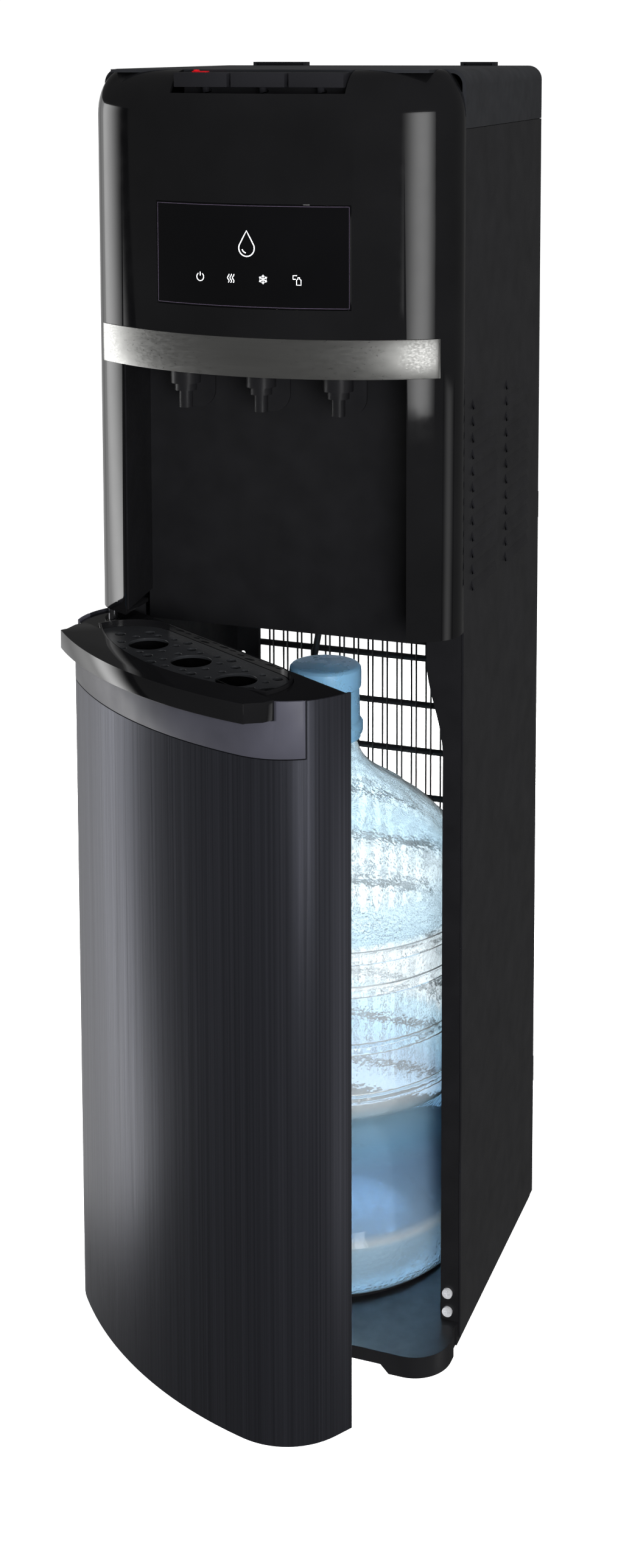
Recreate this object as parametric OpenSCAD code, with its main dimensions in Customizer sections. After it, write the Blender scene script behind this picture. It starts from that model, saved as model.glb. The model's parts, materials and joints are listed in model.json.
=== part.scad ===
// Floor-standing, bottom-loading water dispenser.
// Origin: on the floor, midway between the side panels and midway along their depth.
// +X is the user's right, +Y points to the rear, +Z is up.
// The door is drawn standing ajar; its own pieces are drawn closed and swung about the hinge.

/* [Overall] */
// Width over the side panels
body_w = 310; // [290:2:380]
// Height of the flat top above the floor
body_h = 1050; // [960:10:1260]
// Depth of the side panels, front edge to rear edge
cabinet_d = 238; // [238:2:290]
// Thickness of the sheet steel panels
sheet_t = 1.5; // [1:0.1:2]
// Thickness of the moulded plastic shells
shell_t = 3; // [2:0.2:3.6]

/* [Base] */
// Height of the base deck above the floor
base_h = 18; // [16:1:26]
// How far the base reaches in front of the side panels
base_reach = 59; // [50:1:70]
// Radius of the base's front corners in plan
base_corner_r = 32; // [20:1:40]
// How much the middle of the front edge is raised off the floor
base_step = 7; // [4:0.5:10]

/* [Fascia] */
// How far the fascia bows in front of the side panels
fascia_reach = 74; // [64:1:90]
// How far the fascia's bow rises in front of its corners
fascia_bow = 36; // [30:1:44]
// Radius of the fascia's side corners in plan
fascia_corner_r = 32; // [24:1:40]
// Height of the top cover's side walls
cover_h = 46; // [30:1:70]
// Height of the steel band
band_h = 31; // [20:1:40]
// Distance from the flat top down to the steel band's upper edge
band_drop = 207; // [190:1:230]
// Width of the display window
display_w = 163; // [120:1:190]
// Height of the display window
display_h = 81; // [60:1:95]
// Gap between the steel band and the display window
display_gap = 23; // [10:1:40]

/* [Alcove] */
// Clear width between the fascia's columns
alcove_w = 242; // [220:2:250]
// Distance from the side panels' front edge back to the alcove's rear wall
alcove_set = 31; // [20:1:50]
// Height of the alcove's opening
alcove_h = 209; // [180:1:240]
// Distance between neighbouring nozzles
nozzle_pitch = 65; // [50:1:75]
// Bore of each nozzle
nozzle_bore = 7; // [5:0.5:9]

/* [Buttons] */
// Width of one dispensing button
button_w = 45; // [36:1:50]
// Gap between neighbouring buttons
button_gap = 3.3; // [2:0.1:5]
// Height of a button's front face
button_h = 11.5; // [9:0.5:14]
// Travel of a button
button_travel = 3.5; // [2:0.5:5]
// Radius of a button's guide stem
stem_r = 3; // [2:0.5:4]

/* [Door] */
// Gap between each side of the door and the outside of the side panels
door_side_gap = 2; // [1:0.5:6]
// How far the door bows in front of its rear plane
door_depth = 91; // [80:1:100]
// Radius of the door's bow in plan
door_bow_r = 350; // [330:5:450]
// Radius of the door's front corners in plan
door_corner_r = 60; // [50:1:64]
// Angle that the door stands open
door_ajar = 32; // [0:1:60]
// Radius of the hinge pins
hinge_pin_r = 4; // [3:0.5:5]
// Gap between the door and the pieces above and below it
door_gap = 4; // [4:0.5:8]

/* [Drip tray] */
// Half width of the grille
grille_hw = 113; // [100:1:114]
// Depth of the grille, front to rear
grille_d = 71; // [56:1:72]
// Depth of the tray's basin
basin_depth = 26; // [15:1:30]
// Radius of the three glass-catching holes
big_hole_r = 16; // [10:0.5:18]
// How far the tray's lip stands out of the door
lip_reach = 13; // [8:1:16]

/* [Bottle] */
// Radius of the bottle's body
bottle_r = 132; // [110:1:133]
// Height of the bottle without its cap
bottle_h = 500; // [420:5:506]
// Radius of the bottle's neck
neck_r = 27; // [24:0.5:30]
// Wall of the bottle
bottle_t = 1.8; // [1.2:0.1:3]

/* [Condenser] */
// Diameter of the condenser's tube
cond_tube_d = 6; // [4.8:0.2:8]
// Distance between neighbouring runs of the tube
cond_pitch = 45; // [36:1:60]
// Least height of the upper brackets above the bay's ceiling
cond_over = 48; // [20:2:80]
// Distance between neighbouring wires on one side
wire_pitch = 14.4; // [10:0.2:20]

/* [Hidden] */

hw = body_w / 2;
y_front = -cabinet_d / 2;
y_back = cabinet_d / 2;
fit_gap = 0.3;
run_fit = 0.05;
arc_fn = 96;

// Levels
cover_z = body_h - cover_h;
band_z1 = body_h - band_drop;
band_z0 = band_z1 - band_h;
fascia_z0 = band_z0 - alcove_h;
door_z1 = fascia_z0 - door_gap;
door_z0 = base_h + door_gap + 2;
display_z0 = band_z1 + display_gap;
ceiling_z = fascia_z0 - 23;
shelf_z = band_z0 - 17;
panel_z0 = 5;

// Fascia plan
fascia_apex = y_front - fascia_reach;
fascia_fx = hw - fascia_corner_r;
fascia_bow_r = fascia_corner_r + (pow(fascia_fx, 2) + pow(fascia_bow, 2)) / (2 * fascia_bow);
fascia_cy = fascia_apex + fascia_bow_r;
fascia_fy = fascia_cy - sqrt(pow(fascia_bow_r - fascia_corner_r, 2) - pow(fascia_fx, 2));
alcove_back = y_front + alcove_set;
liner_hw = alcove_w / 2 + 13;

// Door plan, in its closed place
door_hw = hw - door_side_gap;
door_rear = y_front - door_gap;
door_apex = door_rear - door_depth;
hinge_x = -door_hw + 10;
hinge_y = door_rear - 18;
bush_t = 1.5;
tray_z = door_z1 - 4;
grille_t = 2.5;
lip_z0 = door_z1 - 14;
lip_z1 = door_z1 + 1;
insert_z0 = door_z1 - 43;
seam_gap = 0.6;

// Bay
jamb_t = 2;
liner_x = hw - 17;
liner_t = 1.5;
seat_h = 6;
bottle_x = 1;
bottle_y = y_back - bottle_r - sheet_t - 4;
bottle_z0 = base_h + seat_h;
neck_z = bottle_z0 + bottle_h - 68;
cap_z0 = neck_z + 13;
cap_z1 = bottle_z0 + bottle_h + 9;

// Rear
rear_y = y_back - sheet_t;
cond_y = y_back + 30;
cond_z0 = base_h + 71;
cond_hw = hw - 15;
cond_turn_r = 12;
cond_runs = 2 * ceil((ceiling_z + cond_over - cond_z0) / (2 * cond_pitch) + 0.75);

// Nozzles and buttons
nozzle_y = alcove_back - 75;
nozzle_r = 5.5;
buttons_x = 3;
button_y0 = fascia_apex + 18;
button_y1 = fascia_apex + 42;
button_z1 = body_h - 2;
button_z0 = button_z1 - button_h;
button_pitch = button_w + button_gap;
housing_z = button_z0 - 14;

// Route of the supply hose, from the gland in the bay's ceiling to the probe's collar
hose_d = 6;
hose_route = [
    [-26, 54, 580], [-27, 55, 568], [-29, 56, 556], [-32, 58, 544], [-35, 60, 531],
    [-38, 62, 518], [-42, 65, 505], [-46, 70, 492], [-50, 76, 480], [-54, 83, 468],
    [-57, 90, 456], [-60, 96, 443], [-62, 101, 429], [-63, 105, 414], [-63, 107, 398],
    [-63, 108, 382], [-63, 108, 366], [-64, 108, 350], [-68, 109, 336], [-77, 109, 326],
    [-90, 109, 322], [-103, 109, 326], [-112, 109, 336], [-116, 109, 350], [-117, 109, 366],
    [-117, 109, 382], [-117, 109, 398], [-117, 109, 413], [-117, 109, 428]
];

// ---------- Helpers ----------

// Plan with flat sides, round front corners and one wide arc across the front
module bow_plan(half_w, apex, bow_r, corner_r, rear, inset) {
    fx = half_w - corner_r;
    cy = apex + bow_r;
    fy = cy - sqrt(pow(bow_r - corner_r, 2) - pow(fx, 2));
    turn = asin(fx / (bow_r - corner_r));
    reach = 4 * corner_r;
    intersection() {
        translate([0, cy]) circle(r = bow_r - inset, $fn = arc_fn);
        translate([-(half_w - inset), apex - 50])
            square([2 * (half_w - inset), rear - apex + 50]);
        union() {
            translate([-fx, apex - 50]) square([2 * fx, rear - apex + 50]);
            translate([-half_w - 20, fy]) square([2 * half_w + 40, rear - fy]);
            for (side = [-1, 1]) {
                translate([side * fx, fy]) circle(r = corner_r - inset, $fn = arc_fn);
                polygon([
                    [side * fx, fy], [side * fx, fy - reach],
                    [side * (fx + reach * sin(turn)), fy - reach * cos(turn)]
                ]);
            }
        }
    }
}

module fascia_plan(inset) {
    bow_plan(hw, fascia_apex, fascia_bow_r, fascia_corner_r, y_front, inset);
}

module door_plan(inset) {
    bow_plan(door_hw, door_apex, door_bow_r, door_corner_r, door_rear, inset);
}

// Same plan, run out past the door's rear plane for cutting
module door_cut(inset) {
    bow_plan(door_hw, door_apex, door_bow_r, door_corner_r, door_rear + 1, inset);
}

// Puts a piece that is drawn in the closed door's place where the door stands
module on_door() {
    translate([hinge_x, hinge_y, 0])
        rotate([0, 0, -door_ajar])
            translate([-hinge_x, -hinge_y, 0])
                children();
}

// Draws a piece given for the right side on either side
module on_side(side) {
    mirror([side < 0 ? 1 : 0, 0, 0]) children();
}

// Upright plate: an outline in X and Z, y1 is its rear face
module upright(y1, thick) {
    translate([0, y1, 0]) rotate([90, 0, 0]) linear_extrude(thick) children();
}

function unit(v) = v / norm(v);
function tangent(p, i) = unit(p[min(i + 1, len(p) - 1)] - p[max(i - 1, 0)]);

// Round tube swept along a list of points
module swept_tube(p, d, sides, ref) {
    rings = len(p);
    ring_points = [
        for (i = [0:rings - 1])
            let (t = tangent(p, i), u = unit(cross(t, ref)), v = cross(t, u))
                for (k = [0:sides - 1])
                    p[i] + d / 2 * (cos(360 * k / sides) * u + sin(360 * k / sides) * v)
    ];
    first_cap = [[for (k = [0:sides - 1]) k]];
    last_cap = [[for (k = [sides - 1:-1:0]) (rings - 1) * sides + k]];
    walls = [
        for (i = [0:rings - 2])
            for (k = [0:sides - 1])
                let (a = i * sides + k, b = i * sides + (k + 1) % sides)
                    each [[a, a + sides, b + sides], [a, b + sides, b]]
    ];
    polyhedron(ring_points, concat(first_cap, last_cap, walls));
}

// Pan-head screw along -Y: the head stands in front of y0
module screw(x, y0, z, head_h, head_r, shank_r, shank_len) {
    slot_w = 1;
    slot_len = 4.8;
    translate([x, y0, z]) rotate([-90, 0, 0]) {
        difference() {
            translate([0, 0, -head_h]) cylinder(r = head_r, h = head_h, $fn = 32);
            for (turn = [0, 90])
                rotate([0, 0, turn]) translate([-slot_len / 2, -slot_w / 2, -1.5 * head_h])
                    cube([slot_len, slot_w, head_h]);
        }
        cylinder(r = shank_r, h = shank_len, $fn = 32);
    }
}

// ---------- Cabinet ----------

module base_plan(inset) {
    front = y_front - base_reach;
    lobe = base_corner_r;
    translate([-hw + lobe, front + inset]) square([body_w - 2 * lobe, lobe]);
    for (side = [-1, 1])
        translate([side * (hw - lobe), front + lobe]) circle(r = lobe - inset, $fn = arc_fn);
    translate([-hw + inset, front + lobe]) square([body_w - 2 * inset, 8]);
    translate([-hw + 3 + inset, front + lobe])
        square([body_w - 6 - 2 * inset, y_front - front - lobe - fit_gap]);
    translate([-hw + sheet_t + fit_gap + inset, y_front - 4])
        square([body_w - 2 * (sheet_t + fit_gap + inset), rear_y - fit_gap - inset - y_front + 4]);
}

module base_pan() color("#17181b") {
    middle = hw - 43;
    difference() {
        union() {
            linear_extrude(base_h) base_plan(0);
            translate([bottle_x, bottle_y, base_h - 1]) difference() {
                cylinder(r = bottle_r - 18, h = seat_h + 1, $fn = arc_fn);
                translate([0, 0, -1]) cylinder(r = bottle_r - 30, h = seat_h + 3, $fn = arc_fn);
            }
        }
        translate([0, 0, -1]) linear_extrude(base_h - 3) base_plan(10);
        upright(y_front - base_reach + 40, 60)
            polygon([
                [-middle - 1, -1], [-middle + base_step, base_step],
                [middle - base_step, base_step], [middle + 1, -1]
            ]);
        translate([hinge_x, hinge_y, -1]) cylinder(r = hinge_pin_r + bush_t, h = base_h + 2, $fn = 48);
    }
}

// Louvres of one side panel: two columns pressed outwards over slots
louvre_rows = 12;
louvre_pitch = 13.45;
louvre_len = 70;
louvre_z0 = ceiling_z + 53;
louvre_y = [y_front + 23, y_front + 125];

module side_panel() color("#131316") {
    outer = hw - sheet_t;
    difference() {
        union() {
            translate([outer, y_front, panel_z0])
                cube([sheet_t, cabinet_d, cover_z - panel_z0 - 0.4]);
            translate([hw - 14, y_front + jamb_t, panel_z0 + base_h])
                cube([14 - sheet_t / 2, sheet_t, cover_z - panel_z0 - base_h - 0.4]);
        }
        for (y = louvre_y)
            for (row = [0:louvre_rows - 1])
                translate([outer - 1, y, louvre_z0 + row * louvre_pitch - 2])
                    cube([sheet_t + 2, louvre_len, 6]);
        for (z = jamb_screw_z)
            translate([jamb_screw_x, y_front, z]) rotate([-90, 0, 0])
                cylinder(r = 2.05, h = 8, $fn = 32);
    }
    for (y = louvre_y)
        for (row = [0:louvre_rows - 1])
            translate([0, y, louvre_z0 + row * louvre_pitch])
                translate([0, louvre_len, 0]) rotate([90, 0, 0]) linear_extrude(louvre_len)
                    polygon([
                        [hw - 0.6, 5.5], [hw, 7], [hw + 2.2, -1], [hw + 1.3, -1.4], [hw - 0.6, 3.9]
                    ]);
}

jamb_screw_x = hw - 11;
jamb_screw_z = [base_h + 8, base_h + 24];

// Front jamb with its curved gusset, and the bay's side wall behind it
module jamb() color("#101013") {
    gusset_z = door_z1 - 100;
    gusset_h = 80;
    gusset_w = 14;
    difference() {
        upright(y_front + jamb_t, jamb_t)
            polygon(concat(
                [[liner_x, base_h], [hw - sheet_t - fit_gap, base_h]],
                [[hw - sheet_t - fit_gap, fascia_z0], [liner_x - gusset_w, fascia_z0]],
                [for (i = [0:12]) let (t = 1 - i / 12)
                    [liner_x - gusset_w * (1 - cos(180 * t)) / 2, gusset_z + gusset_h * t]]
            ));
        for (z = jamb_screw_z)
            translate([jamb_screw_x, y_front - 1, z]) rotate([-90, 0, 0])
                cylinder(r = 2.05, h = 8, $fn = 32);
    }
    translate([liner_x, y_front + 1, base_h])
        cube([liner_t, rear_y - fit_gap - y_front - 1, ceiling_z - fit_gap - base_h]);
}

// Low heads on the hinge side, where the door's rear corner swings past
module jamb_screws() color("#b9bcc4")
    for (side = [-1, 1])
        for (z = jamb_screw_z)
            screw(side * jamb_screw_x, y_front, z, side < 0 ? 1.1 : 2.2, 4.2, 2, 6);

lip_y = button_y1 + 1;
lid_hw = hw - 20.5;

// Lid with side walls; its front lip lies flush in the fascia's top
module top_cover() color("#2b2c31") {
    round_r = 12;
    wall = shell_t;
    difference() {
        union() {
            translate([0, y_back, 0]) rotate([90, 0, 0]) linear_extrude(cabinet_d)
                cover_section(0, round_r);
            intersection() {
                translate([0, y_front + 1, 0]) rotate([90, 0, 0])
                    linear_extrude(y_front + 1 - lip_y)
                        intersection() {
                            cover_section(0, round_r);
                            translate([-hw, body_h - 2.5]) square([body_w, 3]);
                        }
                translate([-lid_hw, lip_y - 5, body_h - 10]) cube([2 * lid_hw, cabinet_d, 20]);
            }
        }
        translate([0, y_back - wall, 0]) rotate([90, 0, 0]) linear_extrude(cabinet_d)
            cover_section(wall, round_r);
        translate([-hw - 1, lip_y - 1, body_h - lid_t + 0.1 - 80])
            cube([body_w + 2, y_front - lip_y + 1, 80]);
    }
}

module cover_section(inset, r) {
    side = hw - inset;
    translate([-side, cover_z - inset]) square([2 * side, body_h - r - cover_z + inset]);
    translate([-hw + r, cover_z - inset]) square([body_w - 2 * r, cover_h]);
    for (s = [-1, 1])
        translate([s * (hw - r), body_h - r]) circle(r = r - inset, $fn = arc_fn);
}

// Two sprung tabs that stand up at the cover's rear edge
module cover_clips() color("#33343a")
    for (x = [-hw + 40, hw - 72])
        translate([x, y_back - 9, body_h]) difference() {
            cube([52 - (x > 0 ? 20 : 0), 9, 3.2]);
            translate([3, -1, -1]) cube([46 - (x > 0 ? 20 : 0), 7, 3]);
        }

module rear_panel() color("#16171a") {
    difference() {
        translate([-hw + sheet_t, rear_y, ceiling_z])
            cube([body_w - 2 * sheet_t, sheet_t, cover_z - ceiling_z]);
        for (row = [0:9])
            translate([-70, rear_y - 1, cover_z - 30 - row * 9]) cube([140, 4, 3]);
        translate([switch_x - 0.2, rear_y - 1, switch_z - 0.2]) cube([22.4, 4, 84.4]);
        translate([gland_x, rear_y - 1, gland_z]) rotate([-90, 0, 0]) cylinder(r = 8, h = 4, $fn = 48);
        translate([drain_x, rear_y - 1, drain_z]) rotate([-90, 0, 0]) cylinder(r = 7.2, h = 4, $fn = 48);
    }
}

rear_open_w = 232;
rear_open_z0 = base_h + 60;
rear_open_z1 = ceiling_z - 25;

module rear_frame() color("#101013") {
    corner = 10;
    half = rear_open_w / 2 - corner;
    difference() {
        translate([-hw + sheet_t, rear_y, panel_z0])
            cube([body_w - 2 * sheet_t, sheet_t, ceiling_z - panel_z0 - fit_gap]);
        upright(y_back + 2, 10) {
            translate([-half, rear_open_z0]) square([2 * half, rear_open_z1 - rear_open_z0]);
            translate([-half - corner, rear_open_z0 + corner])
                square([2 * half + 2 * corner, rear_open_z1 - rear_open_z0 - 2 * corner]);
            for (s = [-1, 1])
                for (z = [rear_open_z0 + corner, rear_open_z1 - corner])
                    translate([s * half, z]) circle(r = corner, $fn = arc_fn);
        }
        for (s = [-1, 1])
            translate([s * (hw - 23), rear_y - 1, door_z1 - 108]) rotate([-90, 0, 0])
                cylinder(r = 2.2, h = 4, $fn = 32);
    }
}

module bay_ceiling() color("#8c9096") {
    difference() {
        translate([-hw + sheet_t, alcove_back + shell_t, ceiling_z])
            cube([body_w - 2 * sheet_t, rear_y - alcove_back - shell_t, 2]);
        translate([hose_route[0][0], hose_route[0][1], ceiling_z - 1])
            cylinder(r = 7, h = 4, $fn = 48);
    }
}

module tank_shelf() color("#8c9096")
    translate([-hw + sheet_t, alcove_back + shell_t, shelf_z])
        cube([body_w - 2 * sheet_t, rear_y - alcove_back - shell_t, 2]);

// ---------- Fascia, alcove and display ----------

fascia_z1 = body_h;
lid_t = 2.6;
front_round_r = 37;
side_round_r = 20;

// Limits of the fascia that round its top edge: from the front over, and from each side over
module round_over(inset) {
    top = fascia_z1 - inset;
    translate([-hw, 0, 0]) rotate([90, 0, 90]) linear_extrude(body_w) {
        translate([fascia_apex + front_round_r, fascia_z0 - 5])
            square([y_front - fascia_apex - front_round_r + 5, top - fascia_z0 + 5]);
        translate([fascia_apex + inset, fascia_z0 - 5])
            square([front_round_r, fascia_z1 - front_round_r - fascia_z0 + 5]);
        translate([fascia_apex + front_round_r, fascia_z1 - front_round_r])
            circle(r = front_round_r - inset, $fn = arc_fn);
    }
}

module round_sides(inset) {
    top = fascia_z1 - inset;
    translate([0, y_front + 5, 0]) rotate([90, 0, 0]) linear_extrude(y_front + 5 - fascia_apex + 5) {
        translate([-hw + side_round_r, fascia_z0 - 5])
            square([body_w - 2 * side_round_r, top - fascia_z0 + 5]);
        translate([-hw + inset, fascia_z0 - 5])
            square([body_w - 2 * inset, fascia_z1 - side_round_r - fascia_z0 + 5]);
        for (s = [-1, 1])
            translate([s * (hw - side_round_r), fascia_z1 - side_round_r])
                circle(r = side_round_r - inset, $fn = arc_fn);
    }
}

module fascia() color("#08080a") {
    cut_hw = alcove_w / 2;
    cut_y = fascia_apex - 10;
    difference() {
        intersection() {
            translate([0, 0, fascia_z0]) linear_extrude(fascia_z1 - fascia_z0) fascia_plan(0);
            round_over(0);
            round_sides(0);
        }
        intersection() {
            translate([0, 0, fascia_z0 + shell_t])
                linear_extrude(body_h - lid_t - fascia_z0 - 2 * shell_t)
                    bow_plan(hw, fascia_apex, fascia_bow_r, fascia_corner_r, y_front + 2, shell_t);
            round_over(shell_t);
            round_sides(shell_t);
        }
        translate([-lid_hw - fit_gap, lip_y - fit_gap, body_h - lid_t])
            cube([2 * (lid_hw + fit_gap), y_front - lip_y + 2, 5]);
        translate([-cut_hw, cut_y, fascia_z0 - 1])
            cube([2 * cut_hw, y_front - cut_y + 1, band_z0 - fascia_z0 + 1]);
        translate([-display_w / 2 - fit_gap, cut_y, display_z0 - fit_gap])
            cube([display_w + 2 * fit_gap, 30, display_h + 2 * fit_gap]);
        translate([buttons_x - 1.5 * button_pitch - 2, cut_y, button_z0 - button_travel - 1])
            cube([3 * button_pitch + 9, button_y1 - cut_y + 1, 60]);
        translate([hinge_x, hinge_y, fascia_z0 - 1])
            cylinder(r = hinge_pin_r + bush_t, h = shell_t + 2, $fn = 48);
    }
}

module display_window() color("#020203")
    translate([0, 0, display_z0]) linear_extrude(display_h)
        intersection() {
            difference() {
                fascia_plan(0.2);
                fascia_plan(shell_t);
            }
            translate([-display_w / 2, fascia_apex]) square([display_w, 30]);
        }

// Indicator board behind the display, and the board with the buttons' three switches
module front_boards() color("#1d5b34") {
    translate([-display_w / 2 + 12, fascia_apex + 24, display_z0 + 4])
        cube([display_w - 24, 1.6, display_h - 8]);
    translate([buttons_x - 70, button_y0 + 2, housing_z - 14]) cube([140, 20, 1.6]);
    for (i = [-1:1])
        translate([buttons_x + i * button_pitch - 5, button_y0 + 8, housing_z - 12.4]) cube([10, 8, 5]);
}

module steel_band() color("#a9a9a6")
    translate([0, 0, band_z0]) linear_extrude(band_h)
        intersection() {
            difference() {
                fascia_plan(-0.8);
                fascia_plan(0);
            }
            translate([-hw + 10, fascia_apex - 5]) square([body_w - 20, 45 + 5]);
        }

module alcove_liner() color("#131416") {
    side_h = band_z0 - fascia_z0;
    front_hw = alcove_w / 2;
    front_y = fascia_cy - sqrt(pow(fascia_bow_r - shell_t - fit_gap, 2) - pow(front_hw + shell_t, 2)) + 1;
    translate([-liner_hw, alcove_back, ceiling_z])
        cube([2 * liner_hw, shell_t, band_z0 + 1.5 + shell_t - ceiling_z]);
    for (side = [-1, 1])
        translate([0, 0, fascia_z0 + shell_t]) linear_extrude(side_h - shell_t + 1.6)
            polygon([
                [side * front_hw, front_y], [side * (front_hw + shell_t), front_y],
                [side * (liner_hw - 0.4), alcove_back], [side * (liner_hw - 0.4), alcove_back + 1],
                [side * (liner_hw - shell_t), alcove_back + 1], [side * (liner_hw - shell_t), alcove_back]
            ]);
    difference() {
        translate([0, 0, band_z0 + 1.5]) linear_extrude(shell_t)
            intersection() {
                fascia_plan(shell_t + fit_gap);
                translate([-liner_hw, fascia_apex])
                    square([2 * liner_hw, alcove_back + shell_t - fascia_apex]);
            }
        for (i = [-1:1])
            translate([i * nozzle_pitch, nozzle_y, band_z0]) cylinder(r = 9, h = 6, $fn = 48);
    }
}

// Splash shields, each a tongue with a round end behind its nozzle
module nozzle_shields() color("#0e0e10")
    for (i = [-1:1])
        upright(nozzle_y + 27, 2) translate([i * nozzle_pitch, 0]) {
            translate([0, band_z0 - 21]) circle(r = 15, $fn = 48);
            translate([-15, band_z0 - 21]) square([30, 22.3]);
        }

module nozzle(i) {
    color("#1c1d22") translate([i * nozzle_pitch, nozzle_y, band_z0 - 32]) difference() {
        union() {
            cylinder(r = nozzle_r, h = 18, $fn = 64);
            translate([0, 0, 14]) cylinder(r = 8.8, h = 34, $fn = 64);
            translate([0, 0, 20]) cylinder(r = 12, h = 13.4, $fn = 64);
        }
        translate([0, 0, -1]) cylinder(r = nozzle_bore / 2, h = 60, $fn = 48);
    }
}

module dispense_valves() color("#d8d6cf")
    for (i = [-1:1])
        translate([i * nozzle_pitch, nozzle_y, band_z0 + 16.1]) {
            difference() {
                cylinder(r = 11, h = 26, $fn = 48);
                translate([0, 0, -1]) cylinder(r = nozzle_bore / 2, h = 20, $fn = 32);
            }
            translate([-8, 6, 6]) cube([16, 22, 16]);
        }

// ---------- Buttons ----------

module button_housing() color("#0c0c0e") {
    x0 = buttons_x - 1.5 * button_pitch;
    difference() {
        translate([x0, button_y0 + 1, housing_z])
            cube([3 * button_pitch, button_y1 - button_y0 - 0.5, 4]);
        for (i = [-1:1])
            translate([buttons_x + i * button_pitch, (button_y0 + button_y1) / 2, housing_z - 1])
                cylinder(r = stem_r + run_fit, h = 8, $fn = 48);
    }
    translate([x0, button_y1 + 0.3, housing_z])
        cube([3 * button_pitch, 1.6, body_h - lid_t - shell_t - housing_z]);
    translate([x0, button_y1 - 1, housing_z]) cube([3 * button_pitch, 2, 4]);
}

module button(i) {
    x = buttons_x + i * button_pitch;
    yc = (button_y0 + button_y1) / 2;
    difference() {
        translate([x - button_w / 2, button_y0, button_z0])
            cube([button_w, button_y1 - button_y0 - 0.3, button_h]);
        translate([x - button_w / 2 + 2, button_y0 + 2, button_z0 - 1])
            cube([button_w - 4, button_y1 - button_y0 - 4.3, button_h - 1.2]);
        children();
    }
    translate([x, yc, housing_z - 2]) cylinder(r = stem_r, h = button_z1 - housing_z, $fn = 48);
}

lock_x = buttons_x - button_pitch - 4;
lock_y = button_y1 - 13;

module button_hot() color("#141417") button(-1)
    translate([lock_x - 7, lock_y - 4, button_z1 - 1.5]) cube([22, 8, 3]);
module button_room() color("#141417") button(0);
module button_cold() color("#141417") button(1);

// Red catch that slides in a pocket of the hot button
module child_lock() color("#c8101c")
    translate([lock_x - 6, lock_y - 3.7, button_z1 - 1.45]) {
        cube([12, 7.4, 2.4]);
        translate([1, 1, 2.3]) cube([3, 5.4, 1.2]);
    }

spring_steps = 30;
spring_h = button_z0 + button_h - 2.2 - housing_z - 4;

// Open coil spring around each stem
module button_springs() color("#c0c2c8")
    for (i = [-1:1])
        translate([buttons_x + i * button_pitch, (button_y0 + button_y1) / 2, housing_z + 4])
            swept_tube(
                [for (k = [0:spring_steps]) let (a = 36 * k)
                    [4.6 * cos(a), 4.6 * sin(a), 0.5 + (spring_h - 1) * k / spring_steps]],
                0.8, 5, [0.02, 0.01, 1]);

// ---------- Cooling, tanks and electrics ----------

comp_x = 12;
comp_y = 20;
comp_r = 62;
comp_feet = [for (sx = [-1, 1]) for (sy = [-1, 1]) [comp_x + sx * 66, comp_y + sy * 44]];

module compressor() color("#1a1a1c") {
    difference() {
        union() {
            translate([comp_x - 78, comp_y - 54, ceiling_z + 14]) cube([156, 108, 3]);
            translate([comp_x, comp_y, ceiling_z + 17]) cylinder(r = comp_r - 8, h = 8, $fn = arc_fn);
            translate([comp_x, comp_y, ceiling_z + 25]) cylinder(r = comp_r, h = 92, $fn = arc_fn);
            translate([comp_x, comp_y, ceiling_z + 117])
                cylinder(r1 = comp_r, r2 = comp_r - 26, h = 22, $fn = arc_fn);
            translate([comp_x + comp_r - 10, comp_y - 20, ceiling_z + 50]) cube([24, 40, 44]);
        }
        for (p = comp_feet)
            translate([p[0], p[1], ceiling_z]) cylinder(r = 5, h = 30, $fn = 32);
    }
}

module compressor_mounts() color("#242424")
    for (p = comp_feet)
        translate([p[0], p[1], ceiling_z + 2]) {
            cylinder(r = 9, h = 12, $fn = 48);
            cylinder(r = 5, h = 17, $fn = 48);
        }

module condenser_tube() color("#0d0d0e") {
    run_hw = cond_hw - cond_turn_r;
    for (row = [0:cond_runs - 1])
        translate([-run_hw, cond_y, cond_z0 + row * cond_pitch]) rotate([0, 90, 0])
            cylinder(d = cond_tube_d, h = 2 * run_hw, $fn = 32);
    for (row = [0:cond_runs - 2])
        on_side(row % 2 == 0 ? 1 : -1)
            translate([run_hw, cond_y, cond_z0 + row * cond_pitch]) {
                translate([0, 0, cond_turn_r]) rotate([90, 0, 0]) condenser_turn(-90);
                translate([cond_turn_r, 0, cond_turn_r])
                    cylinder(d = cond_tube_d, h = cond_pitch - 2 * cond_turn_r, $fn = 32);
                translate([0, 0, cond_pitch - cond_turn_r]) rotate([90, 0, 0]) condenser_turn(0);
            }
}

module condenser_turn(start)
    rotate([0, 0, start]) rotate_extrude(angle = 90, $fn = 64)
        translate([cond_turn_r, 0]) circle(d = cond_tube_d, $fn = 32);

wire_r = 0.9;

module condenser_wires() color("#0d0d0e") {
    count = floor((2 * (cond_hw - cond_turn_r) - 4) / wire_pitch);
    for (layer = [-1, 1])
        for (k = [0:count])
            translate([
                (k - count / 2) * wire_pitch + layer * wire_pitch / 4,
                cond_y + layer * (cond_tube_d / 2 + wire_r), cond_z0 - 12
            ])
                cylinder(r = wire_r, h = (cond_runs - 1) * cond_pitch + 24, $fn = 16);
}

// Angle brackets from the rear face to the wires
module condenser_brackets() color("#26272a") {
    reach = cond_y - cond_tube_d / 2 - 2 * wire_r - y_back - 0.1;
    for (s = [-1, 1])
        for (z = [cond_z0 + 0.5 * cond_pitch, cond_z0 + (cond_runs - 1.5) * cond_pitch])
            on_side(s) translate([hw - 14, y_back, z - 12]) {
                cube([12, 2, 24]);
                translate([4, 0, 0]) cube([4, reach, 24]);
                translate([-34, reach - 2, 8]) cube([40, 2, 8]);
            }
}

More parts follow.
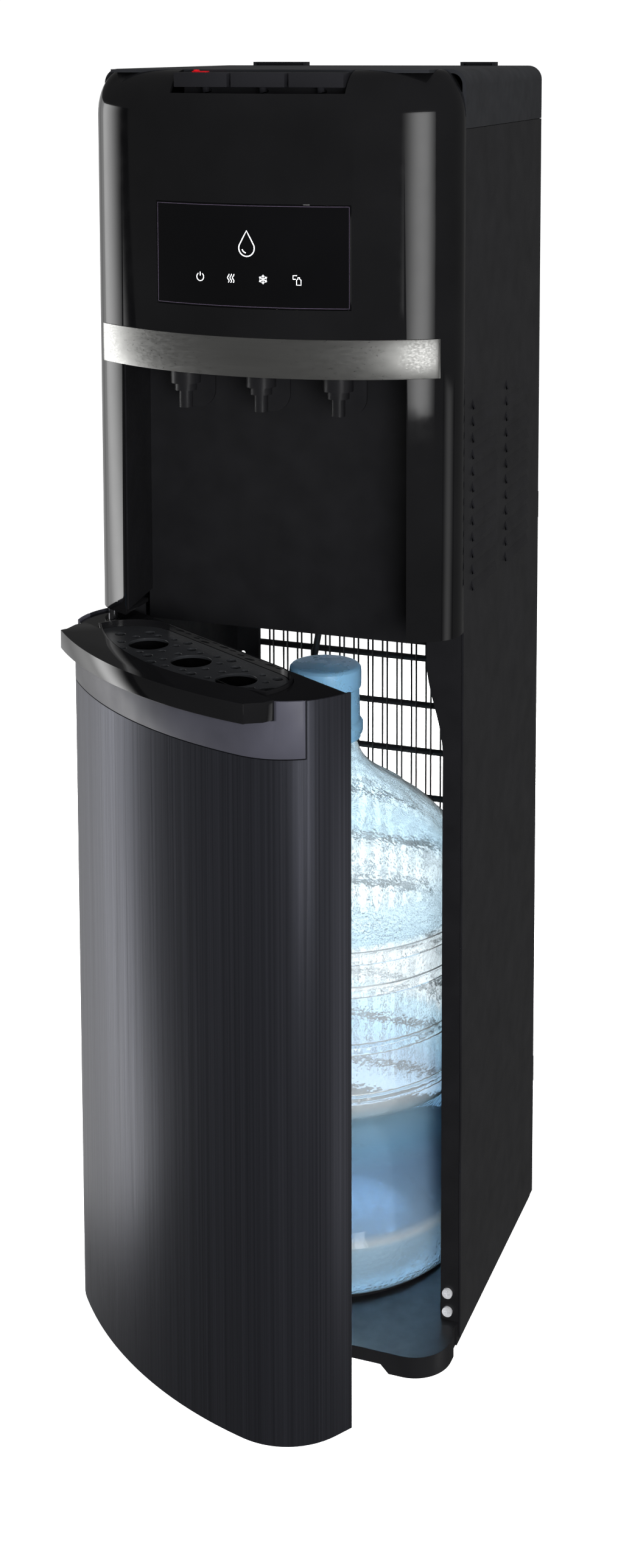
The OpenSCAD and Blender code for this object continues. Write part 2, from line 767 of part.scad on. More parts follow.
module filter_drier() color("#b06a3a")
    translate([-112, 96, ceiling_z + 30]) {
        cylinder(r = 10, h = 90, $fn = 48);
        translate([0, 0, -14]) cylinder(r = 3, h = 118, $fn = 32);
    }

module cold_tank() color("#c9ccd1")
    translate([66, 22, shelf_z + 20]) {
        difference() {
            cylinder(r = 52, h = 128, $fn = arc_fn);
            translate([0, 0, 1]) cylinder(r = 51, h = 126, $fn = arc_fn);
        }
        translate([0, 0, 127.5]) cylinder(r = 6, h = 24, $fn = 32);
    }

module tank_foam() color("#ece9df")
    translate([66, 22, shelf_z + 2]) difference() {
        translate([-68, -68, 0]) cube([136, 136, 150]);
        translate([0, 0, 18]) cylinder(r = 52.2, h = 140, $fn = arc_fn);
    }

module hot_tank() color("#b9bcc2")
    translate([-78, 22, shelf_z + 2]) {
        difference() {
            cylinder(r = 44, h = 120, $fn = arc_fn);
            translate([0, 0, 1]) cylinder(r = 43, h = 118, $fn = arc_fn);
        }
        translate([0, 0, 30]) difference() {
            cylinder(r = 46, h = 34, $fn = arc_fn);
            translate([0, 0, -1]) cylinder(r = 44, h = 36, $fn = arc_fn);
        }
        translate([0, 0, 119.5]) cylinder(r = 6, h = 24, $fn = 32);
    }

module water_pump() color("#2a2b2e")
    translate([-118, -40, ceiling_z + 2]) {
        cube([34, 50, 6]);
        translate([17, 25, 6]) cylinder(r = 16, h = 40, $fn = 48);
        translate([3, 10, 46]) cube([28, 30, 20]);
    }

module control_board() color("#1d5b34")
    translate([-hw + sheet_t + 8, -60, ceiling_z + 90]) {
        cube([1.6, 110, 90]);
        translate([1.6, 12, 10]) cube([16, 26, 30]);
        translate([1.6, 60, 20]) cube([12, 34, 16]);
    }

switch_x = 84;
switch_z = cover_z - 110;
gland_x = 104;
gland_z = ceiling_z + 176;
drain_x = -94;
drain_z = ceiling_z + 176;

module switch_plate() color("#0f0f11")
    difference() {
        union() {
            translate([switch_x, rear_y - 8, switch_z]) cube([22, 11, 84]);
            translate([switch_x - 3, y_back + 0.2, switch_z - 3]) cube([28, 2, 90]);
        }
        for (k = [0:2])
            translate([switch_x + 4, rear_y - 6, switch_z + 4 + k * 27]) cube([14, 20, 22]);
        for (k = [0:2])
            translate([switch_x + 1.8, y_back - 1, switch_z + 15 + k * 27]) rotate([0, 90, 0])
                cylinder(r = 1.5 + run_fit, h = 18.4, $fn = 32);
    }

// Rocker on a cross pin, its upper half pressed in
module rocker(k) {
    pin_y = y_back - 1;
    translate([switch_x + 4.4, pin_y, switch_z + 15 + k * 27]) {
        rotate([8, 0, 0]) translate([0, -2, -9]) cube([13.2, 6, 18]);
        translate([-2.2, 0, 0]) rotate([0, 90, 0]) cylinder(r = 1.5, h = 17.6, $fn = 32);
    }
}

module rocker_heat() color("#b01018") rocker(2);
module rocker_cool() color("#1556a8") rocker(1);
module rocker_light() color("#1f7a3a") rocker(0);

module inlet_gland() color("#0f0f11")
    translate([gland_x, rear_y - 6, gland_z]) rotate([-90, 0, 0]) difference() {
        union() {
            cylinder(r = 8, h = 8, $fn = 48);
            translate([0, 0, 7.6]) cylinder(r = 11, h = 5, $fn = 48);
        }
        translate([0, 0, -1]) cylinder(r = 4, h = 16, $fn = 48);
    }

module drain_plug() color("#e8e8e6")
    translate([drain_x, rear_y - 12, drain_z]) rotate([-90, 0, 0]) {
        cylinder(r = 7, h = 14, $fn = 48);
        translate([0, 0, 13.7]) cylinder(r = 14, h = 8, $fn = 48);
    }

// ---------- Door ----------

module hinge_bushes() color("#e9e7df") {
    for (z = [base_h - 4, fascia_z0])
        translate([hinge_x, hinge_y, z]) difference() {
            cylinder(r = hinge_pin_r + bush_t, h = z < base_h ? 4 : shell_t, $fn = 64);
            translate([0, 0, -1]) cylinder(r = hinge_pin_r + run_fit, h = 10, $fn = 64);
        }
    translate([hinge_x, hinge_y, base_h]) difference() {
        cylinder(r = hinge_pin_r + 5, h = 2, $fn = 64);
        translate([0, 0, -1]) cylinder(r = hinge_pin_r + run_fit, h = 10, $fn = 64);
    }
}

module hinge_pins() color("#c4c6cb") {
    translate([hinge_x, hinge_y, base_h - 3]) cylinder(r = hinge_pin_r, h = 30, $fn = 64);
    translate([hinge_x, hinge_y, insert_z0 - 20])
        cylinder(r = hinge_pin_r, h = fascia_z0 + 2 - insert_z0 + 20, $fn = 64);
}

skin_t = 2.2;
side_seam_y = door_rear - 38;

module door_skin() color("#3a3c44") on_door() {
    translate([0, 0, door_z0]) linear_extrude(insert_z0 - seam_gap - door_z0) difference() {
        door_plan(0);
        door_cut(skin_t);
    }
    translate([0, 0, insert_z0 - 1]) linear_extrude(door_z1 - insert_z0 + 1) difference() {
        intersection() {
            door_plan(0);
            translate([-hw, side_seam_y]) square([body_w, 60]);
        }
        door_cut(skin_t);
    }
}

// Plain front above the seam; behind the tray's lip its sides stand up to the door's top
module door_insert() color("#45464f") on_door() {
    rear = side_seam_y - seam_gap;
    lip_edge = lip_back + pocket_gap;
    translate([0, 0, insert_z0]) linear_extrude(lip_z0 - pocket_gap - insert_z0)
        insert_plan(door_apex - 5, rear);
    translate([0, 0, insert_z0]) linear_extrude(door_z1 - insert_z0) insert_plan(lip_edge, rear);
}

module insert_plan(front, rear)
    intersection() {
        difference() {
            door_plan(0);
            door_cut(skin_t);
        }
        translate([-hw, front]) square([body_w, rear - front]);
    }

liner_in = skin_t + fit_gap;
liner_wall = 2.4;

module door_liner() color("#101013") on_door() {
    rim = 11;
    difference() {
        union() {
            translate([0, 0, door_z0]) linear_extrude(insert_z0 - 6 - door_z0) difference() {
                door_plan(liner_in);
                door_cut(liner_in + liner_wall);
            }
            translate([0, 0, door_z0]) linear_extrude(3) difference() {
                door_plan(liner_in);
                door_cut(liner_in + rim);
            }
            for (s = [-1, 1])
                translate([s > 0 ? door_hw - liner_in - rim : -door_hw + liner_in, door_rear - 2.5, door_z0])
                    cube([rim, 2.5, insert_z0 - 6 - door_z0]);
            for (z = [door_z0, insert_z0 - 26])
                translate([hinge_x, hinge_y, z]) cylinder(r = 7.2, h = 20, $fn = 48);
        }
        for (z = [door_z0 - 1, insert_z0 - 27])
            translate([hinge_x, hinge_y, z]) cylinder(r = hinge_pin_r, h = 22, $fn = 64);
    }
}

module lens_plan(grow) {
    front = lens_front;
    rear = front + grille_d;
    bulge = 30;
    arc_r = (pow(grille_hw, 2) + pow(bulge, 2)) / (2 * bulge);
    corner = 38;
    intersection() {
        translate([0, front + arc_r]) circle(r = arc_r + grow, $fn = arc_fn);
        union() {
            translate([-grille_hw - grow, front - 20])
                square([2 * (grille_hw + grow), grille_d + 20 - corner]);
            translate([-grille_hw + corner, front - 20])
                square([2 * (grille_hw - corner), grille_d + 20 + grow]);
            for (s = [-1, 1])
                translate([s * (grille_hw - corner), rear - corner]) circle(r = corner + grow, $fn = arc_fn);
        }
    }
}

lens_front = door_apex + 13;
rim_w = 2.5;
pocket_gap = 0.5;

// Head of the door, with the pocket that the drip tray drops into
module tray_housing() color("#0b0b0d") on_door() {
    pocket_z = tray_z - basin_depth - shell_t;
    difference() {
        translate([0, 0, insert_z0 - 5]) linear_extrude(door_z1 - insert_z0 + 3) door_plan(liner_in);
        translate([0, 0, pocket_z + shell_t]) linear_extrude(80) lens_plan(rim_w + pocket_gap);
        translate([-hw, lens_front - 60, lip_z0 - pocket_gap])
            cube([body_w, lip_back - lens_front + 60 + pocket_gap, 60]);
        translate([0, 0, insert_z0 - 6]) linear_extrude(pocket_z - insert_z0 + 6) door_cut(liner_in + 3);
        for (s = [-1, 1])
            translate([s * (grille_hw + 22) - 8, door_rear - 32, insert_z0 - 6])
                cube([16, 26, door_z1 - insert_z0]);
        translate([hinge_x, hinge_y, insert_z0 - 10]) cylinder(r = hinge_pin_r, h = 80, $fn = 64);
    }
    translate([0, 0, insert_z0 - 5]) linear_extrude(door_z1 - insert_z0 + 3) difference() {
        translate([hinge_x, hinge_y]) circle(r = 7, $fn = 48);
        translate([hinge_x, hinge_y]) circle(r = hinge_pin_r, $fn = 64);
    }
}

module door_magnets() color("#5a5c62") on_door()
    for (z = [door_z0 + 60, insert_z0 - 80])
        translate([door_hw - liner_in - 9, door_rear, z]) cube([7, 3.4, 40]);

lip_back = lens_front + 21;
lip_x = 6;
lip_corner_x = 123;
lip_end_x = 129;

// Plan of the tray's lip: the door's bow carried out to two blunt corners, a little right of the middle
module lip_plan()
    intersection() {
        translate([0, door_apex + door_bow_r]) circle(r = door_bow_r + lip_reach, $fn = arc_fn);
        translate([lip_x, 0]) polygon([
            [-lip_end_x, lip_back], [-lip_end_x, lip_back - 10], [-lip_corner_x, lip_back - 21.5],
            [-lip_corner_x, door_apex - 30], [lip_corner_x, door_apex - 30],
            [lip_corner_x, lip_back - 21.5], [lip_end_x, lip_back - 10], [lip_end_x, lip_back]
        ]);
    }

module drip_tray() color("#050506") on_door() {
    basin_z = tray_z - basin_depth;
    difference() {
        union() {
            translate([0, 0, basin_z]) linear_extrude(lip_z1 - basin_z) lens_plan(rim_w);
            translate([0, 0, lip_z0]) linear_extrude(lip_z1 - lip_z0) lip_plan();
        }
        translate([0, 0, tray_z - grille_t]) linear_extrude(30) lens_plan(0.4);
        translate([0, 0, basin_z + 2.5]) linear_extrude(60) lens_plan(-3);
    }
}

big_hole_pitch = 60;

module tray_grille() color("#1d1e20") on_door() {
    mid_y = lens_front + grille_d * 0.52;
    translate([0, 0, tray_z - grille_t + 0.05]) linear_extrude(grille_t) difference() {
        lens_plan(0);
        for (i = [-1:1])
            translate([lip_x + i * big_hole_pitch, mid_y]) {
                circle(r = big_hole_r, $fn = 64);
                for (k = [0:7])
                    rotate(38 + 45 * k) translate([23, 0]) circle(r = 2.9, $fn = 24);
                for (a = [55, 145, 235, 325])
                    rotate(a) translate([31.5, 0]) circle(r = 4, $fn = 24);
            }
        translate([lip_x - big_hole_pitch - 37, mid_y - 3]) circle(r = 4, $fn = 24);
        translate([lip_x + big_hole_pitch + 35, mid_y + 4]) circle(r = 7, $fn = 32);
    }
}

// ---------- Bottle and supply ----------

module bottle() color("#7fb6dd") translate([bottle_x, bottle_y, 0]) {
    r = bottle_r;
    z = bottle_z0;
    top = neck_z;
    wall = bottle_t;
    difference() {
        rotate_extrude($fn = arc_fn) polygon([
            [0, z + 12], [r - 60, z + 12], [r - 40, z], [r - 14, z], [r - 4, z + 9], [r - 2, z + 34],
            [r, z + 44], [r, top - 96], [r - 4, top - 78], [r - 16, top - 56], [r - 40, top - 34],
            [r - 72, top - 16], [neck_r + 8, top - 3], [neck_r, top + 6], [neck_r, cap_z1 - 4],
            [0, cap_z1 - 4]
        ]);
        rotate_extrude($fn = arc_fn) polygon([
            [0, z + 12 + wall], [r - 60, z + 12 + wall], [r - 40, z + wall], [r - 15, z + wall],
            [r - 4 - wall, z + 11], [r - 2 - wall, z + 34], [r - wall, z + 45], [r - wall, top - 97],
            [r - 5 - wall, top - 79], [r - 17 - wall, top - 58], [r - 41, top - 36], [r - 73, top - 18],
            [neck_r + 7, top - 5], [neck_r - wall, top + 5], [neck_r - wall, cap_z1], [0, cap_z1]
        ]);
    }
}

module bottle_cap() color("#5f9fd4") translate([bottle_x, bottle_y, 0]) {
    ring_z = cap_z0 + 4;
    difference() {
        rotate_extrude($fn = arc_fn) polygon([
            [0, cap_z1], [29, cap_z1], [31.5, cap_z1 - 3], [31.5, cap_z1 - 18], [30.4, cap_z1 - 20],
            [31, ring_z + 10], [33, ring_z + 9], [33, ring_z], [31.4, ring_z - 1], [31, cap_z0],
            [0, cap_z0]
        ]);
        translate([0, 0, cap_z0 - 1]) cylinder(r = neck_r + 0.2, h = cap_z1 - cap_z0 - 2.6, $fn = arc_fn);
    }
}

probe_x = -104;
probe_y = 83;
collar_r = 29;
collar_z = 440;

// Dip tube and collar, parked in a corner of the bay
module supply_probe() color("#26272b") {
    hose_end = hose_route[len(hose_route) - 1];
    translate([probe_x, probe_y, 0]) {
        translate([0, 0, base_h + 34]) cylinder(r = 5, h = collar_z - base_h - 30, $fn = 48);
        translate([0, 0, base_h + 22]) cylinder(r = 7, h = 26, $fn = 48);
        translate([0, 0, collar_z]) difference() {
            union() {
                cylinder(r = collar_r, h = 32, $fn = arc_fn);
                cylinder(r = collar_r + 1.5, h = 6, $fn = arc_fn);
            }
            translate([0, 0, -1]) difference() {
                cylinder(r = neck_r, h = 29, $fn = arc_fn);
                cylinder(r = 5, h = 40, $fn = 48);
            }
        }
    }
    translate(hose_end) cylinder(r = 5, h = collar_z + 12 - hose_end[2], $fn = 48);
}

// Snap ring on the bay's side wall that the dip tube stands in
module probe_clip() color("#26272b")
    translate([0, 0, collar_z - 60]) difference() {
        union() {
            translate([-liner_x, probe_y - 5, 0]) cube([liner_x + probe_x, 10, 10]);
            translate([probe_x, probe_y, 0]) cylinder(r = 8, h = 10, $fn = 48);
        }
        translate([probe_x, probe_y, -1]) cylinder(r = 5 + run_fit, h = 12, $fn = 48);
    }

module supply_hose() color("#141416")
    swept_tube(hose_route, hose_d, 10, [1, 1, 0]);

module hose_gland() color("#101012")
    translate([hose_route[0][0], hose_route[0][1], ceiling_z]) {
        difference() {
            union() {
                translate([0, 0, -4]) cylinder(r = 10, h = 4, $fn = 48);
                cylinder(r = 7, h = 6, $fn = 48);
            }
            translate([0, 0, -5]) cylinder(r = hose_d / 2, h = 13, $fn = 48);
        }
    }

base_pan();
on_side(-1) side_panel();  // side_panel_left
on_side(1) side_panel();  // side_panel_right
top_cover();
cover_clips();
rear_panel();
rear_frame();
on_side(-1) jamb();  // jamb_left
on_side(1) jamb();  // jamb_right
jamb_screws();
bay_ceiling();
tank_shelf();
fascia();
display_window();
front_boards();
steel_band();
alcove_liner();
nozzle_shields();
nozzle(-1);  // nozzle_hot
nozzle(0);  // nozzle_room
nozzle(1);  // nozzle_cold
dispense_valves();
button_housing();
button_hot();
button_room();
button_cold();
child_lock();
button_springs();
compressor();
compressor_mounts();
condenser_tube();
condenser_wires();
condenser_brackets();
filter_drier();
cold_tank();
tank_foam();
hot_tank();
water_pump();
control_board();
switch_plate();
rocker_heat();
rocker_cool();
rocker_light();
inlet_gland();
drain_plug();
hinge_bushes();
hinge_pins();
door_skin();
door_insert();
door_liner();
tray_housing();
door_magnets();
drip_tray();
tray_grille();
bottle();
bottle_cap();
supply_probe();
supply_hose();
hose_gland();
probe_clip();
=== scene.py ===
"""Looks of the bottom-loading water dispenser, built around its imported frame. Metres."""

import json
import math

import bmesh
import bpy
from mathutils import Matrix, Vector


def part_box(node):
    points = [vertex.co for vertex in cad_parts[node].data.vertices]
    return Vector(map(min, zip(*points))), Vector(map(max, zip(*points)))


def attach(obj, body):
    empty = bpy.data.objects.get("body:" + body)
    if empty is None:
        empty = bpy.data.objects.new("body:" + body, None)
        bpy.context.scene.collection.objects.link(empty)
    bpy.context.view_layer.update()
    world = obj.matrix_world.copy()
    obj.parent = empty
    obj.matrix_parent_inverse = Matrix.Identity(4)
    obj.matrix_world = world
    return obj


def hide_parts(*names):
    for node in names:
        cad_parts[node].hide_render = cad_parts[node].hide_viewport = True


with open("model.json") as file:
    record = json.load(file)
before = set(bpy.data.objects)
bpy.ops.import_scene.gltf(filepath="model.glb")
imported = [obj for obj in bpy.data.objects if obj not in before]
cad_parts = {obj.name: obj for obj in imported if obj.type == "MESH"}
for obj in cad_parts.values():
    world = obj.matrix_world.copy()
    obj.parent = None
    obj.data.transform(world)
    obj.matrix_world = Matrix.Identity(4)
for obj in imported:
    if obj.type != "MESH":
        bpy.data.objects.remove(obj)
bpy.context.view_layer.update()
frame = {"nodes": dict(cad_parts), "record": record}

MM = 0.001


def lo_hi(node):
    return [Vector(corner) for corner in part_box(node)]


# ---------- Camera ----------

CAMERA_PLACE = (0.6091, -1.6850, 1.0723)
CAMERA_YAW = math.radians(20.527)
CAMERA_DOWN = math.radians(6.16)
CAMERA_ROLL = math.radians(-0.19)


def make_camera():
    data = bpy.data.cameras.new("camera")
    data.sensor_width = 36
    data.lens = 48.02
    data.shift_x = 0.0013
    data.shift_y = -0.33
    data.clip_start = 0.05
    camera = bpy.data.objects.new("camera", data)
    bpy.context.collection.objects.link(camera)
    turn = Matrix.Rotation(CAMERA_YAW, 4, "Z") @ Matrix.Rotation(math.pi / 2 - CAMERA_DOWN, 4, "X")
    camera.matrix_world = Matrix.Translation(CAMERA_PLACE) @ turn @ Matrix.Rotation(CAMERA_ROLL, 4, "Z")
    bpy.context.scene.camera = camera


make_camera()

# ---------- Materials ----------


class Nodes:
    """A material's node tree with short calls for what the finishes share."""

    def __init__(self, name):
        self.material = bpy.data.materials.new(name)
        self.material.use_nodes = True
        self.tree = self.material.node_tree
        self.shader = self.tree.nodes["Principled BSDF"]
        self.place = self.tree.nodes.new("ShaderNodeTexCoord").outputs["Object"]

    def new(self, kind, **settings):
        node = self.tree.nodes.new(kind)
        for key, value in settings.items():
            setattr(node, key, value)
        return node

    def link(self, source, target):
        self.tree.links.new(source, target)

    def stretched(self, scale):
        node = self.new("ShaderNodeMapping")
        node.inputs["Scale"].default_value = scale
        self.link(self.place, node.inputs["Vector"])
        return node.outputs["Vector"]

    def noise(self, scale, detail=3.0, place=None):
        node = self.new("ShaderNodeTexNoise")
        node.inputs["Scale"].default_value = scale
        node.inputs["Detail"].default_value = detail
        self.link(place or self.place, node.inputs["Vector"])
        return node.outputs["Fac"]

    def ranged(self, value, low, high, start=0.3, end=0.7):
        node = self.new("ShaderNodeMapRange")
        node.inputs["From Min"].default_value = start
        node.inputs["From Max"].default_value = end
        node.inputs["To Min"].default_value = low
        node.inputs["To Max"].default_value = high
        self.link(value, node.inputs["Value"])
        return node.outputs["Result"]

    def colour(self, value, dark, light, start=0.3, end=0.7):
        node = self.new("ShaderNodeValToRGB")
        node.color_ramp.elements[0].position = start
        node.color_ramp.elements[1].position = end
        node.color_ramp.elements[0].color = (*dark, 1)
        node.color_ramp.elements[1].color = (*light, 1)
        self.link(value, node.inputs["Fac"])
        self.link(node.outputs["Color"], self.shader.inputs["Base Color"])

    def rough(self, value, low, high, start=0.3, end=0.7):
        self.link(self.ranged(value, low, high, start, end), self.shader.inputs["Roughness"])

    def bump(self, value, strength, distance):
        node = self.new("ShaderNodeBump")
        node.inputs["Strength"].default_value = strength
        node.inputs["Distance"].default_value = distance
        self.link(value, node.inputs["Height"])
        self.link(node.outputs["Normal"], self.shader.inputs["Normal"])

    def set(self, **values):
        for key, value in values.items():
            self.shader.inputs[key.replace("_", " ")].default_value = value
        return self


def shades(base, spread):
    return [c * (1 - spread) for c in base], [min(1, c * (1 + spread)) for c in base]


def plastic(name, base, rough, grain=900, depth=0.03, spread=0.15, coat=0.0):
    """Moulded plastic: faint mottling, and a fine moulded grain."""
    made = Nodes(name)
    made.colour(made.noise(35), *shades(base, spread))
    made.rough(made.noise(90), rough * 0.85, rough * 1.15)
    made.bump(made.noise(grain, 2), depth * 10, 0.00005)
    return made.set(Coat_Weight=coat, Coat_Roughness=0.04).material


def gloss(name, base, rough=0.07):
    """Polished plastic: slow waviness, and faint handling marks in the gloss."""
    made = Nodes(name)
    made.colour(made.noise(12), *shades(base, 0.2))
    made.rough(made.noise(60, 6), rough * 0.7, rough * 1.4)
    made.bump(made.noise(18, 1), 0.12, 0.0004)
    return made.set(Specular_IOR_Level=0.5).material


def painted(name, base, rough=0.32):
    """Painted sheet: a fine orange peel."""
    made = Nodes(name)
    made.colour(made.noise(20), *shades(base, 0.2))
    made.rough(made.noise(45, 5), rough * 0.85, rough * 1.15)
    made.bump(made.noise(700, 2), 0.12, 0.00008)
    return made.material


def brushed(name, base, stretch, rough=0.3, spread=0.18, metallic=1.0, depth=0.35):
    """Metal brushed along the axis whose stretch is small."""
    made = Nodes(name)
    fine = made.noise(1, 4, made.stretched(stretch))
    wide = made.noise(1, 3, made.stretched([s * 0.22 for s in stretch]))
    made.colour(made.ranged(wide, 0.35, 0.65), *shades(base, spread), 0.38, 0.62)
    made.rough(fine, rough * 0.8, rough * 1.25)
    made.bump(fine, depth, 0.00006)
    return made.set(Metallic=metallic).material


def clear(name, base, rough, transmission, wave=60, depth=0.5):
    """Blown clear plastic: a wavy wall."""
    made = Nodes(name)
    made.colour(made.noise(14), *shades(base, 0.12))
    made.rough(made.noise(40, 4), rough * 0.7, rough * 1.5)
    made.bump(made.noise(wave, 3), depth, 0.001)
    return made.set(Transmission_Weight=transmission, IOR=1.45).material


def bottle_wall(name):
    """Blown bottle plastic: its own blue with painted highlights and painted shade set by height, grainy in two bands,
    wavy all over.
    """
    made = Nodes(name)
    split = made.new("ShaderNodeSeparateXYZ")
    made.link(made.place, split.inputs[0])
    height = made.ranged(split.outputs["Z"], 0, 1, 0.0, 0.5)
    tint_with_painted_light = made.new("ShaderNodeValToRGB")
    # The plastic's own blue, with painted light by height: the near-white stops are painted highlights and the darker
    # blue stops are painted shade.
    painted_light_stops = [
        (0.05, (0.6, 0.81, 0.95)), (0.138, (0.66, 0.85, 0.97)), (0.147, (0.92, 0.98, 1)), (0.158, (0.5, 0.68, 0.86)),
        (0.26, (0.38, 0.58, 0.8)), (0.3, (0.4, 0.68, 0.9)), (0.36, (0.56, 0.8, 0.94)), (0.385, (0.9, 0.965, 0.99)),
        (0.655, (0.9, 0.965, 0.99)), (0.67, (0.66, 0.83, 0.93)), (0.715, (0.7, 0.86, 0.95)), (0.75, (0.82, 0.93, 0.98)),
        (1.0, (0.72, 0.88, 0.97)),
    ]
    while len(tint_with_painted_light.color_ramp.elements) < len(painted_light_stops):
        tint_with_painted_light.color_ramp.elements.new(0.5)
    for stop, (place, shade) in zip(tint_with_painted_light.color_ramp.elements, painted_light_stops):
        stop.position = place
        stop.color = (*shade, 1)
    made.link(height, tint_with_painted_light.inputs["Fac"])
    made.link(tint_with_painted_light.outputs["Color"], made.shader.inputs["Base Color"])
    bands = made.new("ShaderNodeValToRGB")
    edges = [(0.0, 1.0), (0.138, 0.12), (0.665, 1.0), (0.716, 0.12)]
    bands.color_ramp.interpolation = "CONSTANT"
    while len(bands.color_ramp.elements) < len(edges):
        bands.color_ramp.elements.new(0.5)
    for stop, (place, level) in zip(bands.color_ramp.elements, edges):
        stop.position = place
        stop.color = (level, level, level, 1)
    made.link(height, bands.inputs["Fac"])
    grain = made.new("ShaderNodeMath", operation="MULTIPLY")
    made.link(made.noise(330, 1), grain.inputs[0])
    made.link(bands.outputs["Color"], grain.inputs[1])
    wave = made.new("ShaderNodeMath", operation="ADD")
    made.link(grain.outputs[0], wave.inputs[0])
    made.link(made.noise(42, 3), wave.inputs[1])
    made.rough(made.noise(40, 4), 0.03, 0.09)
    made.bump(wave.outputs[0], 0.5, 0.0012)
    return made.set(Transmission_Weight=0.8, IOR=1.42).material


ALONG_X = (6, 900, 900)
ALONG_Z = (900, 900, 5)

FINISHES = {
    "base_black": lambda n: plastic(n, (0.008, 0.008, 0.009), 0.45),
    "panel_black": lambda n: painted(n, (0.0095, 0.0095, 0.011), 0.3),
    "cover_grey": lambda n: plastic(n, (0.02, 0.021, 0.024), 0.34),
    "screw_steel": lambda n: brushed(n, (0.72, 0.73, 0.76), (400, 400, 400), 0.34, metallic=0.35),
    "sheet_steel": lambda n: brushed(n, (0.42, 0.43, 0.45), (90, 90, 90), 0.4),
    "gloss_black": lambda n: gloss(n, (0.005, 0.005, 0.0055)),
    "display_glass": lambda n: gloss(n, (0.0016, 0.0016, 0.002), 0.04),
    "board_green": lambda n: plastic(n, (0.02, 0.16, 0.06), 0.35, grain=300),
    "band_steel": lambda n: brushed(n, (0.62, 0.62, 0.6), ALONG_X, 0.34, 0.05, depth=0.12),
    "alcove_black": lambda n: plastic(n, (0.0085, 0.0085, 0.0095), 0.4),
    "valve_white": lambda n: plastic(n, (0.7, 0.69, 0.65), 0.4, spread=0.05),
    "button_black": lambda n: gloss(n, (0.012, 0.012, 0.014), 0.2),
    "lock_red": lambda n: gloss(n, (0.62, 0.008, 0.015), 0.25),
    "spring_steel": lambda n: brushed(n, (0.6, 0.6, 0.63), (500, 500, 500), 0.2),
    "compressor_black": lambda n: painted(n, (0.013, 0.013, 0.014), 0.25),
    "mount_rubber": lambda n: plastic(n, (0.018, 0.018, 0.018), 0.7),
    "condenser_black": lambda n: painted(n, (0.008, 0.008, 0.009), 0.4),
    "copper": lambda n: brushed(n, (0.65, 0.3, 0.17), (120, 120, 120), 0.3),
    "tank_steel": lambda n: brushed(n, (0.6, 0.61, 0.63), ALONG_Z, 0.3),
    "foam": lambda n: plastic(n, (0.8, 0.77, 0.68), 0.9, grain=180, depth=0.1, spread=0.05),
    "pump_black": lambda n: plastic(n, (0.02, 0.02, 0.022), 0.45),
    "rocker_red": lambda n: gloss(n, (0.5, 0.008, 0.015), 0.2),
    "rocker_blue": lambda n: gloss(n, (0.015, 0.11, 0.42), 0.2),
    "rocker_green": lambda n: gloss(n, (0.015, 0.28, 0.07), 0.2),
    "bush_white": lambda n: plastic(n, (0.72, 0.7, 0.64), 0.4, spread=0.05),
    "door_brushed": lambda n: brushed(n, (0.062, 0.064, 0.078), (2600, 2600, 5), 0.34, 0.2, 0.85),
    "insert_grey": lambda n: painted(n, (0.05, 0.05, 0.064), 0.36),
    "liner_black": lambda n: plastic(n, (0.011, 0.011, 0.013), 0.35),
    "magnet_grey": lambda n: plastic(n, (0.09, 0.09, 0.1), 0.5),
    "grille_black": lambda n: plastic(n, (0.019, 0.02, 0.022), 0.24, grain=1500),
    "bottle_blue": bottle_wall,
    "cap_blue": lambda n: clear(n, (0.34, 0.66, 0.95), 0.25, 0.45, wave=25, depth=0.1),
    "probe_black": lambda n: plastic(n, (0.02, 0.02, 0.023), 0.4),
    "hose_black": lambda n: plastic(n, (0.013, 0.013, 0.014), 0.45, grain=400),
}
finish = {name: make(name) for name, make in FINISHES.items()}
slot_of = {part["node"]: part["material_slot"] for part in frame["record"]["subparts"]}
body_of = {node: body for body, nodes in frame["record"]["behaviour"]["bodies"].items() for node in nodes}


def glow(name, base, strength):
    made = Nodes(name)
    made.colour(made.noise(300), *shades(base, 0.05))
    made.rough(made.noise(300), 0.3, 0.4)
    return made.set(Emission_Color=(*base, 1), Emission_Strength=strength).material


icon_white = glow("icon_white", (0.86, 0.88, 0.9), 0.9)
outline_violet = glow("outline_violet", (0.07, 0.055, 0.085), 0.1)

# ---------- Mesh helpers ----------


def add(name, mesh, material):
    piece = bpy.data.objects.new(name, mesh)
    bpy.context.collection.objects.link(piece)
    mesh.materials.clear()
    mesh.materials.append(material)
    return piece


def show(piece, node, *more):
    """The piece rides with a node's body and stands for it."""
    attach(piece, body_of[node])
    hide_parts(node, *more)
    return piece


def solid(name, rings, material):
    """Closed solid through rings of points, one above the other."""
    made = bmesh.new()
    levels = [[made.verts.new(p) for p in ring] for ring in rings]
    count = len(rings[0])
    made.faces.new(reversed(levels[0]))
    made.faces.new(levels[-1])
    for below, above in zip(levels, levels[1:]):
        for i in range(count):
            j = (i + 1) % count
            made.faces.new((below[i], below[j], above[j], above[i]))
    bmesh.ops.recalc_face_normals(made, faces=made.faces)
    mesh = bpy.data.meshes.new(name)
    made.to_mesh(mesh)
    made.free()
    return add(name, mesh, material)


def prism(name, outline, z0, z1, material):
    return solid(name, [[(x, y, z) for x, y in outline] for z in (z0, z1)], material)


def block(name, low, high, material):
    outline = [(low[0], low[1]), (high[0], low[1]), (high[0], high[1]), (low[0], high[1])]
    return prism(name, outline, low[2], high[2], material)


def baked(piece):
    """Makes the piece's modifiers part of its mesh."""
    graph = bpy.context.evaluated_depsgraph_get()
    mesh = bpy.data.meshes.new_from_object(piece.evaluated_get(graph))
    piece.modifiers.clear()
    piece.data = mesh
    return piece


